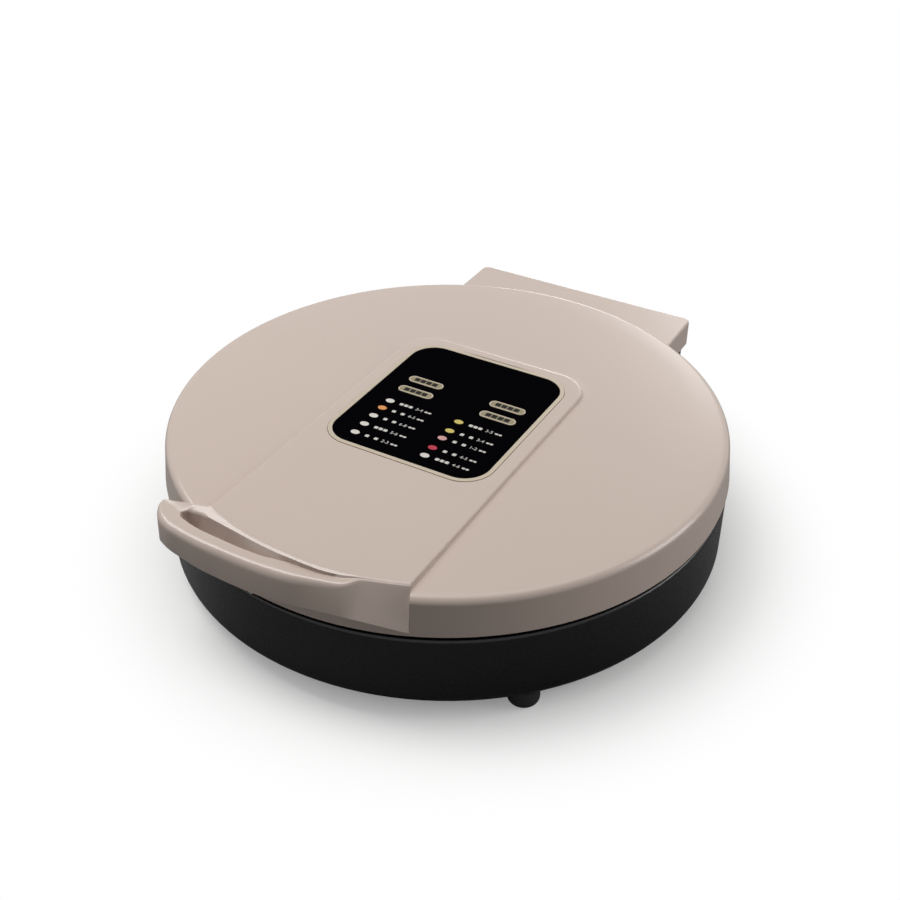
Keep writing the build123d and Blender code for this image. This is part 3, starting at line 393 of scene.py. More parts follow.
# Columns: angle, reach and height of the bar's top outer edge, before it is rounded.
BAR_EDGE = np.array([
    (-31.1, 1.062, 85.2), (-30.8, 1.080, 85.0), (-30.1, 1.091, 85.0), (-28.7, 1.102, 85.0), (-27.0, 1.109, 85.0),
    (-24.8, 1.107, 85.0), (-22.0, 1.096, 85.0), (-18.2, 1.079, 85.0), (-15.2, 1.065, 85.0), (-11.2, 1.049, 85.0),
    (-6.5, 1.035, 85.0), (-2.9, 1.026, 85.1), (1.7, 1.015, 85.2), (3.9, 1.007, 85.3), (6.5, 1.000, 85.6),
    (8.5, 0.997, 85.9), (10.7, 0.993, 86.3), (12.3, 0.983, 86.9), (14.0, 0.963, 87.5), (15.5, 0.960, 87.6),
    (18.0, 0.9590, 87.6), (23.4, 0.9590, 87.45),
])
# Angle, reach and height of the bar's foot.
BAR_FOOT = np.array([
    (-31.1, 1.062, 67.0), (-30.8, 1.080, 67.0), (-30.1, 1.092, 67.0), (-28.7, 1.105, 67.0), (-27.4, 1.112, 67.0),
    (-25.0, 1.109, 67.0), (-21.3, 1.096, 67.0), (-16.7, 1.082, 67.0), (-13.1, 1.069, 67.0), (-8.0, 1.0548, 67.0),
    (-3.0, 1.044, 67.0), (2.2, 1.034, 67.2), (5.9, 1.029, 68.1), (10.2, 1.028, 68.7), (14.8, 1.028, 68.2),
    (17.7, 1.028, 67.3), (20.7, 1.028, 65.8), (23.4, 1.027, 64.0),
])
# Angle, reach and height of the recess's back edge, and angle and reach of its front edge.
RECESS_BACK = np.array([
    (-31.1, 1.059, 85.2), (-28.5, 1.045, 85.1), (-26.3, 1.034, 85.1), (-25.6, 1.011, 85.2), (-24.5, 1.0000, 85.4),
    (-23.0, 0.9880, 85.85), (-20.1, 0.9770, 86.5), (-17.1, 0.9695, 87.0), (-14.0, 0.9640, 87.4), (-10.0, 0.9597, 87.6),
    (-5.3, 0.9575, 87.6), (-0.7, 0.9565, 87.6), (3.4, 0.9590, 87.6), (6.5, 0.9615, 87.6), (9.5, 0.9605, 87.65),
    (14.0, 0.9540, 87.95), (23.4, 0.9530, 87.80),
])
RECESS_FRONT = np.array([
    (-31.1, 1.061), (-28.5, 1.050), (-26.3, 1.039), (-25.3, 1.045), (-22.2, 1.038), (-17.9, 1.020), (-14.9, 1.007),
    (-11.9, 0.997), (-6.9, 0.982), (-2.9, 0.9690), (0.0, 0.9640), (3.4, 0.9650), (6.5, 0.9670), (9.5, 0.9660),
    (14.0, 0.9565), (23.4, 0.9560),
])
# Angle and height of the recess's floor, and angle and reach of the ridge that falls to it.
RECESS_FLOOR = np.array([
    (-26.3, 85.1), (-25.4, 78.0), (-23.8, 73.5), (-21.0, 71.5), (-15.0, 72.5), (-11.0, 76.5), (-7.0, 81.0),
    (-3.0, 84.4), (1.0, 84.9), (3.9, 85.15), (6.5, 85.45), (9.5, 86.0),
])
RIDGE = np.array([
    (-23.396, 166.17), (-21.0, 166.4), (-15.0, 166.4), (-8.0, 165.7), (-2.0, 165.4), (5.0, 166.1), (14.0, 166.2),
    (19.0, 165.8), (23.35, 165.2),
])
# Ledge that holds the upper plate: its profile's corners. Bosses for the hinge arms: width, length, corner, reach and
# depth under the hinge cover's top, and the height of their feet.
LEDGE = [(165.0, 66.0), (172.6, 66.0), (172.6, 68.5), (165.0, 68.5)]
BOSS_WIDTH, BOSS_LENGTH, BOSS_CORNER, BOSS_REACH, BOSS_DEPTH, BOSS_FOOT = 11.0, 18.8, 1.5, 174.6, 5.0, 62.0
# Cover let into the bar: its ends' angles, its rim inside the bar's foot, its back's reach, and its heights.
GRIP_ENDS, GRIP_RIM, GRIP_BACK, GRIP_TOP, GRIP_EDGE, GRIP_LOW = (-30.4, -1.2), 1.3, 178.3, 67.1, 66.7, 66.4
GRIP_BEVEL = 0.3


def smooth(places, values, at):
    """Smooth curve through values at places: cubic Hermite pieces with harmonic-mean slopes, level where it turns."""
    step = np.diff(values) / np.diff(places)
    turns = step[:-1] * step[1:] <= 0
    total = np.where(turns, 1.0, step[:-1] + step[1:])
    middle = np.where(turns, 0.0, 2 * step[:-1] * step[1:] / total)
    slope = np.concatenate([step[:1], middle, step[-1:]])
    at = np.clip(at, places[0], places[-1])
    i = np.clip(np.searchsorted(places, at, side="right") - 1, 0, len(step) - 1)
    width = places[i + 1] - places[i]
    t = (at - places[i]) / width
    start = (1 + 2 * t) * (1 - t) ** 2 * values[i] + t * (1 - t) ** 2 * width * slope[i]
    return start + t ** 2 * (3 - 2 * t) * values[i + 1] + t ** 2 * (t - 1) * width * slope[i + 1]


def along(table, column, angles):
    """Column of a table at angles, smoothed over the root of the distance from the tip, so that the tip is round."""
    return smooth(np.sqrt(table[:, 0] - TIP_ANGLE + 1e-9), table[:, column], np.sqrt(np.maximum(angles - TIP_ANGLE, 0)))


def rounded_rectangle(half_width, front, back, corner, steps=400):
    """Outline of a rectangle with round corners, from four quarter circles, run counter-clockwise from +X."""
    turn = np.linspace(0, np.pi / 2, steps)
    quarters = (turn[None, :] + np.arange(4)[:, None] * np.pi / 2).ravel()
    x = np.repeat([1, -1, -1, 1], steps) * (half_width - corner) + corner * np.cos(quarters)
    y = np.repeat([back - corner, back - corner, front + corner, front + corner], steps) + corner * np.sin(quarters)
    return x, y


def ray_reach(outline, angles):
    """Distance at which rays at angles from the front cross an outline round the axis: each straight edge between two
    corners a and b is met at |a x b| / |d x (b - a)|, for a ray direction d."""
    ax, ay = outline
    bx, by = np.roll(ax, -1), np.roll(ay, -1)
    turn = np.unwrap(np.arctan2(ay, ax))
    ray = np.radians(angles) - np.pi / 2
    ray = turn[0] + np.mod(ray - turn[0], 2 * np.pi)
    i = np.searchsorted(turn, ray, side="right") - 1
    dx, dy = np.cos(ray), np.sin(ray)
    across = ax[i] * by[i] - ay[i] * bx[i]
    return across / (dx * (by[i] - ay[i]) - dy * (bx[i] - ax[i]))


def round_corners(points, reaches, steps=6):
    """Rows of profiles with rounded corners: each corner c becomes the parabola (1-t)^2 a + 2t(1-t) c + t^2 b between
    points a and b at a reach before and after it, and never past the middle of an edge."""
    corner = points[:, 1:-1]
    back, ahead = points[:, :-2] - corner, points[:, 2:] - corner
    back_length = np.linalg.norm(back, axis=2, keepdims=True) + 1e-9
    ahead_length = np.linalg.norm(ahead, axis=2, keepdims=True) + 1e-9
    reach = np.asarray(reaches)[..., None]
    a = corner + back / back_length * np.minimum(reach, 0.48 * back_length)
    b = corner + ahead / ahead_length * np.minimum(reach, 0.48 * ahead_length)
    t = np.linspace(0, 1, steps)[None, None, :, None]
    curve = (1 - t) ** 2 * a[:, :, None] + 2 * t * (1 - t) * corner[:, :, None] + t ** 2 * b[:, :, None]
    return np.concatenate([points[:, :1], curve.reshape(len(points), -1, 2), points[:, -1:]], axis=1)


def crown(reach):
    """Height of the lid's top, a very flat parabola, with the round edge's quarter circle beyond its start."""
    fall = np.clip(reach - EDGE_START, 0, EDGE_RADIUS)
    return LID_RIM + 1.4 * (1 - (reach / LID_RADIUS) ** 2) - (EDGE_RADIUS - np.sqrt(EDGE_RADIUS ** 2 - fall ** 2))


def wall_reach(height):
    """Reach of the lid's flared wall at a height."""
    return LID_RADIUS + (LID_FOOT - LID_RADIUS) * (LID_RIM - height) / (LID_RIM - LID_LOW)


def wing_reach(angles):
    """Reach of the wing's straight back edge, d / (cos a - s sin a) at an angle a for a line at a distance d with a
    slope s, curled in to the tip at its end."""
    turn = np.radians(np.abs(angles))
    line = WING_LINE / (np.cos(turn) - WING_SLOPE * np.sin(turn))
    return line + WING_CURL * np.exp(-((angles - TIP_ANGLE) / CURL_ANGLE) ** 2)


def between(start, end, share):
    """Points at a share of the way between two rows of points."""
    return start * (1 - share) + end * share


def lid_profiles(angles, kind):
    """Closed profiles of reach and height, one for each angle. A plain profile (kind 0) goes over the band, the crown,
    the round edge and down the wall. In the wing (kind 1) it then rises to the wing's back edge and goes over the bar,
    and between the band's front corners (kind 2) its ridge falls straight to the recess, the bar and its foot."""
    n = len(angles)

    def point(r, z):
        return np.column_stack([np.broadcast_to(r, n), np.broadcast_to(z, n)])

    plain, wing, front = kind == 0, kind == 1, kind == 2
    bezel = ray_reach(rounded_rectangle(*POCKET), angles)
    side = ray_reach(rounded_rectangle(*BAND), angles)
    ridge = np.where(front, smooth(RIDGE[:, 0], RIDGE[:, 1], angles), np.minimum(side, 166.5))
    window = ray_reach(rounded_rectangle(*WINDOW), angles)
    back = point(along(RECESS_BACK, 1, angles) * LID_RADIUS, along(RECESS_BACK, 2, angles))
    bar_in = point(along(RECESS_FRONT, 1, angles) * LID_RADIUS, np.maximum(85.0, along(BAR_EDGE, 2, angles)))
    bar_out = point(along(BAR_EDGE, 1, angles) * LID_RADIUS, along(BAR_EDGE, 2, angles))
    foot = point(along(BAR_FOOT, 1, angles) * LID_RADIUS, along(BAR_FOOT, 2, angles))
    floor = smooth(RECESS_FLOOR[:, 0], RECESS_FLOOR[:, 1], angles)
    wing_back = wing_reach(angles)
    wing_top = np.interp(angles, *WING_TOP)

    # From the panel's pocket over the band's edge.
    corner = point(ridge, BAND_TOP)
    gather = np.clip((angles - LEFT_CORNER) / 2.0, 0.01, 1)[:, None, None]

    def falling(shares):
        return corner[:, None] + (back - corner)[:, None] * np.asarray(shares)[None, :, None] * gather

    # Where the wing's edge nears the band's corner, the valley between them runs out.
    open_share = np.clip((wing_back - ridge) / 3.0, 0, 1)
    raised = np.where(wing, 1 - open_share ** 2 * (3 - 2 * open_share), 0)

    def low(reach):
        return crown(reach) + (BAND_TOP - 0.1 - crown(reach)) * (raised[:, None] if reach.ndim > 1 else raised)

    gap = np.where(wing, np.clip(wing_back - ridge, 0, 3.0) / 10, 0.3)
    band_foot = np.where(front[:, None], falling([0.5])[:, 0], point(ridge + gap, low(ridge + gap)))
    limit = np.where(wing, np.minimum(wing_back, EDGE_START), EDGE_START)
    crown_reach = (ridge + gap)[:, None] + (limit - ridge - gap)[:, None] * np.linspace(0.1, 1.0, 6)[None, :]
    crown_part = np.stack([crown_reach, low(crown_reach)], axis=2)
    edge_end = np.where(wing, np.clip(wing_back - EDGE_START, 0, EDGE_RADIUS * math.sin(math.radians(EDGE_TURN))), 0)
    turn_end = np.where(wing, np.arcsin(np.clip(edge_end / EDGE_RADIUS, 0, 1)), math.radians(EDGE_TURN))
    turn = turn_end[:, None] * np.linspace(0, 1, 12)[None, 1:]
    edge_reach = limit[:, None] + EDGE_RADIUS * np.sin(turn)
    edge_part = np.stack([edge_reach, low(edge_reach)], axis=2)
    fall_part = falling(np.linspace(0.52, 0.90, 17))
    middle_part = np.where(front[:, None, None], fall_part, np.concatenate([crown_part, edge_part], axis=1))

    # From the wall, or the valley before the wing's back edge, over the bar and down to its foot.
    wall = [point(wall_reach(z), z) for z in np.linspace(*WALL_HEIGHTS, 10)]
    edge_reach_end = EDGE_START + EDGE_RADIUS
    on_crown = wing_back < edge_reach_end - 0.04
    valley_z = np.where(on_crown, crown(np.minimum(wing_back, edge_reach_end - 0.05)), WEB_TOP)
    flare_z = LID_RIM - (wing_back - LID_RADIUS) / (LID_FOOT - LID_RADIUS) * (LID_RIM - LID_LOW)
    valley_z = np.where(~on_crown & (wing_back < wall_reach(WEB_TOP)), flare_z, valley_z)
    valley_z = valley_z + (BAND_TOP - 0.1 - valley_z) * raised
    valley_in = point(np.minimum(wing_back - 0.02, wall_reach(WEB_TOP)), valley_z)
    valley_out = point(wing_back - 0.01, valley_z)
    wing_edge = point(wing_back, wing_top)
    late = falling([0.92, 0.94, 0.96])

    def pick(a, b, c):
        return np.where(front[:, None], c, np.where(wing[:, None], b, a))

    closed = ((angles < RECESS_LEFT) | (angles > RECESS_RIGHT))[:, None]
    floor_z = np.minimum(floor, back[:, 1])
    scoop = np.interp(angles, *SCOOP_SHARES)
    scoop_reach = back[:, 0] + (bar_in[:, 0] - back[:, 0]) * scoop
    floor_back = np.where(closed, between(back, bar_in, 0.35), point(scoop_reach, floor_z))
    floor_front = np.where(closed, between(back, bar_in, 0.65), point(bar_in[:, 0] - 0.8, floor_z))
    floor_back[:, 0] = np.minimum(floor_back[:, 0], floor_front[:, 0] - 0.05)
    outer = [
        pick(wall[0], valley_in, late[:, 0]), pick(wall[1], valley_out, late[:, 1]),
        pick(wall[2], wing_edge, late[:, 2]), pick(wall[3], back, back),
        pick(wall[4], floor_back, floor_back), pick(wall[5], floor_front, floor_front),
        pick(wall[6], bar_in, bar_in), pick(wall[7], bar_out, bar_out), pick(wall[8], foot, foot),
        pick(wall[9], point(wall_reach(GRIP_FOOT), GRIP_FOOT), point(wall_reach(foot[:, 1]), foot[:, 1])),
    ]

    # The underside: in from the foot of the wall, over the recess's box and under the crown to the panel's window.
    recess_low = np.where(plain, UNDERSIDE, np.minimum(UNDERSIDE, floor_z - LID_WALL))
    box_back = np.where(plain | (recess_low > UNDERSIDE - 0.3), UNDERSIDE_STEP, back[:, 0] - LID_WALL)
    face_share = np.clip((bar_out[:, 1] - recess_low) / (bar_out[:, 1] - foot[:, 1]), 0, 1)
    face = bar_out[:, 0] + (foot[:, 0] - bar_out[:, 0]) * face_share
    inner_wall = np.where(front, np.minimum(wall_reach(recess_low), face), wall_reach(recess_low)) - LID_WALL
    inner = [
        point(LID_FOOT, LID_LOW), point(LID_FOOT - LID_WALL, LID_LOW), point(inner_wall, recess_low),
        point(box_back, recess_low), point(box_back - 1.0, UNDERSIDE_IN), point(window, WINDOW_FOOT),
        point(window, POCKET_FLOOR), point(bezel, POCKET_FLOOR),
    ]
    brim = np.stack([point(bezel, POCKET_FLOOR), point(bezel, BAND_TOP), point(bezel + BRIM, BAND_TOP)], axis=1)
    brim = round_corners(brim, np.full((n, 1), BRIM_ROUND), 4)
    step = np.stack([point(ridge - BAND_INSET, BAND_TOP), corner, band_foot, middle_part[:, 0]], axis=1)
    notch = np.interp(wing_back - ridge, [0.0, 3.2], [0.05, 1.6])
    side_round = np.where(wing, notch, np.interp(angles, *SIDE_ROUND))
    edge_round = np.where(front, np.interp(angles, *FRONT_ROUND), side_round)
    part_a = np.concatenate([brim, round_corners(step, np.stack([edge_round, np.full(n, 0.5)], axis=1))], axis=1)
    bar_round = np.interp(angles, *BAR_ROUND)
    wing_round = np.where(wing, np.minimum(1.5, notch), 1.5)
    rounds = [*WALL_ROUNDS, wing_round, *RECESS_ROUNDS, bar_round, *FOOT_ROUNDS, *UNDERSIDE_ROUNDS]
    rest = np.stack([middle_part[:, -1]] + outer + inner, axis=1)
    part_b = round_corners(rest, np.stack([np.broadcast_to(r, n) for r in rounds], axis=1))
    return np.concatenate([part_a[:, :-1], middle_part[:, :-1], part_b[:, :-1]], axis=1)


def ring_of_profiles(angles, profiles):
    """Corners of profiles carried round the axis, x = r sin(angle) and y = -r cos(angle), in metres in the frame."""
    turn = np.radians(angles)[:, None]
    x, y = profiles[..., 0] * np.sin(turn), -profiles[..., 0] * np.cos(turn)
    return np.stack([x * MM, y * MM + AXIS_Y, profiles[..., 1] * MM + LIFT], axis=2).reshape(-1, 3)


def grid_faces(rows, columns, closed_rows):
    """Four-cornered faces of a grid whose columns close on themselves, and whose rows may."""
    i = np.arange(rows if closed_rows else rows - 1)[:, None]
    j = np.arange(columns)[None, :]
    after_i, after_j = (i + 1) % rows, (j + 1) % columns
    near, far = i * columns, after_i * columns
    quads = np.stack([near + j, near + after_j, far + after_j, far + j], axis=2)
    return quads.reshape(-1, 4).tolist()


def lid_angles():
    """Angles of the lid's profiles and the kind of each: dense in the handle, from its tip, and else a degree apart."""
    front = TIP_ANGLE + np.linspace(0, math.sqrt(CORNER_ANGLE - TIP_ANGLE), 230) ** 2
    rest = np.concatenate([[CORNER_ANGLE + 0.05, 23.7], np.arange(24.0, 328.5, 1.0), [328.75, 328.87]]) - 360.0
    angles = np.concatenate([rest[rest < TIP_ANGLE - 0.02], [TIP_ANGLE - 0.01], front])
    kinds = np.concatenate([np.zeros(len(rest), int), [1], np.where(front < LEFT_CORNER, 1, 2)])
    return angles, kinds


def revolved(profile, start, end, steps):
    """Grid of a closed profile of reach and height turned about the plates' axis between two angles."""
    angles = np.linspace(start, end, steps, endpoint=end - start < 360)
    profiles = np.repeat(np.asarray(profile, float)[None], steps, axis=0)
    return ring_of_profiles(angles, profiles), grid_faces(steps, len(profile), end - start >= 360)


class GRIDDLE_OT_lid(Operator):
    """Lid moulding with its band, handle and finger recess, the ledge and bosses inside it, and the handle's cover"""

    bl_idname = "griddle.lid"
    bl_label = "Lid"

    def execute(self, context):
        finishes, sizes = context.scene.griddle_finishes, context.scene.griddle_sizes
        skin = champagne_abs(finishes, sizes)
        angles, kinds = lid_angles()
        profiles = lid_profiles(angles, kinds)
        corners = ring_of_profiles(angles, profiles)
        faces = grid_faces(len(angles), profiles.shape[1], True)
        lid = piece("lid_moulding", corners, faces, skin, "lid", "champagne_plastic", True)
        ledge_piece = piece("lid_plate_ledge", *revolved(LEDGE, 0, 360, 180), skin, "lid", "champagne_plastic", True)
        bosses = []
        for arm in ("hinge_arm_left", "hinge_arm_right"):
            low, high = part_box(arm)
            side = 1 if low.x > 0 else -1
            outer = high.x if side > 0 else low.x
            x, y = outer + side * BOSS_WIDTH / 2 * MM, AXIS_Y + BOSS_REACH * MM
            bosses.append(rounded_bar(x, y, BOSS_WIDTH * MM, BOSS_LENGTH * MM, BOSS_CORNER * MM))
        boss_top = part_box("hinge_cover")[1].z - BOSS_DEPTH * MM
        boss_mesh = plates(bosses, BOSS_FOOT * MM + LIFT, boss_top)
        boss_piece = piece("lid_hinge_bosses", *boss_mesh, skin, "lid", "champagne_plastic", True)
        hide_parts("lid_shell")
        for obj in (lid, ledge_piece, boss_piece):
            obj.data.set_sharp_from_angle(angle=math.radians(32))
        self.handle_cover(skin)
        return {"FINISHED"}

    def handle_cover(self, skin):
        """Thin cover let into the underside of the bar: a low box profile inside the bar's foot, along its length."""
        angles = np.linspace(*GRIP_ENDS, 70)
        outer = along(BAR_FOOT, 1, angles) * LID_RADIUS - GRIP_RIM
        inner = np.full(len(angles), GRIP_BACK)
        rows = [
            (inner, GRIP_TOP), (inner, GRIP_EDGE), (inner + GRIP_BEVEL, GRIP_LOW),
            (outer - GRIP_BEVEL, GRIP_LOW), (outer, GRIP_EDGE), (outer, GRIP_TOP),
        ]
        profiles = np.stack([np.column_stack([r, np.full(len(angles), z)]) for r, z in rows], axis=1)
        faces = grid_faces(len(angles), len(rows), False)
        last = (len(angles) - 1) * len(rows)
        faces += [list(range(len(rows))), [last + k for k in reversed(range(len(rows)))]]
        cover_piece = piece(
            "grip_cover", ring_of_profiles(angles, profiles), faces, skin, "lid", "champagne_plastic"
        )
        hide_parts("handle_cover")


class GRIDDLE_OT_mouldings(Operator):
    """Finishes of the plastic mouldings, the rubber feet and the panel"""

    bl_idname = "griddle.mouldings"
    bl_label = "Mouldings and panel"

    def execute(self, context):
        finishes, sizes = context.scene.griddle_finishes, context.scene.griddle_sizes
        cover(["lid_shell", "handle_cover", "hinge_cover"], bpy.data.materials["champagne_moulded_abs"])
        cover(["base_shell", "inlet_body"], black_abs(finishes, sizes))
        cover(["control_panel"], panel_sheet(finishes))
        keys = ["key_back_left", "key_back_right", "key_front_left", "key_front_right"]
        cover(["panel_bezel"] + keys, gold_plating(finishes))
        feet = ["foot_front_left", "foot_front_right", "foot_rear_left", "foot_rear_right"]
        cover(feet, foot_rubber(finishes))
        return {"FINISHED"}


class GRIDDLE_OT_plates(Operator):
    """Finishes of the plates, heaters and their reflectors"""

    bl_idname = "griddle.plates"
    bl_label = "Plates and heaters"

    def execute(self, context):
        finishes = context.scene.griddle_finishes
        cover(["lower_plate", "upper_plate"], nonstick_coating(finishes))
        # Annealed stainless sheath: a warm straw haze from its first heating.
        cover(["lower_heater", "upper_heater"], bare_metal("heat_tinted_stainless", "#8F857A", 0.42, 20, 1.2))
        # Aluminised sheet: pale, with the soft spangle of its dipped coat.
        cover(["lower_reflector", "upper_reflector"], bare_metal("aluminised_sheet", "#C9C9C7", 0.34, 6, 1.5))
        # Steatite and glass-filled housings: chalky off-white.
        steatite = dull_solid("steatite", linear("#DAD6CB"), 0.6, 6, 0.6)
        cover(["lower_thermostat", "upper_thermostat", "lower_fuse", "upper_fuse", "terminal_block"], steatite)
        return {"FINISHED"}


class GRIDDLE_OT_hardware(Operator):
    """Finishes of the hinge, the screws, the inlet's pins, the board and the wires"""

    bl_idname = "griddle.hardware"
    bl_label = "Hinge, screws and wiring"

    def execute(self, context):
        finishes = context.scene.griddle_finishes
        # Zinc plate: a cool grey metal with a cloudy bloom.
        zinc = bare_metal("zinc_plated_steel", "#B9BAB8", 0.36, 5, 0.8)
        screws = [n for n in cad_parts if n.endswith("_screws")]
        cover(screws + ["lower_heater_clips", "upper_heater_clips", "rod_clips"], zinc)
        # Pressed strip: the grey of rolled and plated steel.
        pressed = bare_metal("pressed_steel", "#A9AAA9", 0.40, 12, 1.0)
        cover(["hinge_arm_left", "hinge_arm_right", "hinge_bracket_left", "hinge_bracket_right"], pressed)
        cover(["hinge_rod"], bare_metal("ground_steel_rod", "#BDBEBF", 0.24, 8, 0.6))
        cover(["inlet_pins"], bare_metal("plain_brass", "#C9A85C", 0.28, 4, 0.6))
        cover(["control_board"], dull_solid("green_laminate", linear("#1F5C34"), 0.42, 5, 0.8))
        cover(["key_switches"], dull_solid("black_nylon", linear("#1C1C1D"), 0.5, 4, 0.5))
        cover(["base_wiring", "lid_wiring"], dull_solid("silicone_sleeve", list(finishes.wire), 0.55, 6, 0.7))
        cover(["base_lead", "lid_lead"], dull_solid("black_silicone", linear("#19191A"), 0.55, 6, 0.7))
        return {"FINISHED"}


class GRIDDLE_OT_panel_marks(Operator):
    """Icons, short marks and times printed on the panel"""

    bl_idname = "griddle.panel_marks"
    bl_label = "Panel marks"

    def execute(self, context):
        finishes, sizes = context.scene.griddle_finishes, context.scene.griddle_sizes
        bottom, top = PANEL_TOP, PANEL_TOP + sizes.mark_thickness
        white = screen_ink("white_screen_ink", list(finishes.print_white))
        marks = []
        for icon_x, rows in ((LEFT_ICON_X, LEFT_ROWS), (RIGHT_ICON_X, RIGHT_ROWS)):
            for y, _, count, _ in rows:
                marks += row_marks(icon_x, y, count, sizes.mark_height)
                for unit_x in UNIT_PLACES:
                    x, unit_y = (icon_x + unit_x) * MM, AXIS_Y + (y - UNIT_DROP) * MM
                    marks.append(rounded_bar(x, unit_y, UNIT_WIDTH * MM, UNIT_HEIGHT * MM, UNIT_CORNER * MM))
        piece("panel_row_marks", *plates(marks, bottom, top), white, "lid", "panel_black")
        for shade, hex_colour in ICON_COLOURS.items():
            icons = [
                oval(icon_x * MM, AXIS_Y + y * MM, sizes.icon_width, sizes.icon_width * ICON_HEIGHT_SHARE)
                for icon_x, rows in ((LEFT_ICON_X, LEFT_ROWS), (RIGHT_ICON_X, RIGHT_ROWS))
                for y, row_shade, _, _ in rows if row_shade == shade
            ]
            ink = screen_ink(shade + "_icon_ink", linear(hex_colour))
            piece("panel_icons_" + shade, *plates(icons, bottom, top), ink, "lid", "panel_black")
        for side, icon_x, rows in (("left", LEFT_ICON_X, LEFT_ROWS), ("right", RIGHT_ICON_X, RIGHT_ROWS)):
            for i, (y, _, _, text) in enumerate(rows):
                x = (icon_x + TIME_PLACE) * MM
                mesh = number_mesh(text, x, AXIS_Y + y * MM, TIME_HEIGHT * MM, bottom, sizes.mark_thickness)
                mesh.name = f"panel_time_{side}_{i}"
                mesh.materials.append(white)
                obj = bpy.data.objects.new(mesh.name, mesh)
                context.scene.collection.objects.link(obj)
                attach(obj, "lid")
        return {"FINISHED"}


class GRIDDLE_OT_key_marks(Operator):
    """Painted faces inside the plain rims of the four keys, and short dark marks printed on them"""

    bl_idname = "griddle.key_marks"
    bl_label = "Key marks"

    def execute(self, context):
        finishes, sizes = context.scene.griddle_finishes, context.scene.griddle_sizes
        ink = screen_ink("dark_key_ink", list(finishes.print_dark))
        paint = key_paint(finishes)
        for key in ("key_back_left", "key_back_right", "key_front_left", "key_front_right"):
            low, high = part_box(key)
            x, y = (low.x + high.x) / 2, (low.y + high.y) / 2
            places = x + KEY_MARK_STEP * MM * np.array([-1.5, -0.5, 0.5, 1.5])
            side, corner = KEY_MARK_SIDE * MM, KEY_MARK_CORNER * MM
            marks = [rounded_bar(place, y, side, side, corner) for place in places]
            low_z = high.z - sizes.key_sink
            width, height = high.x - low.x - 2 * sizes.key_margin, high.y - low.y - 2 * sizes.key_margin
            face = [rounded_bar(x, y, width, height, height * 0.49)]
            face_top = low_z + 0.9 * sizes.mark_thickness
            piece(key + "_face", *plates(face, low_z, face_top), paint, key, "key_gold")
            piece(key + "_mark", *plates(marks, low_z, low_z + sizes.mark_thickness), ink, key, "key_gold")
        return {"FINISHED"}


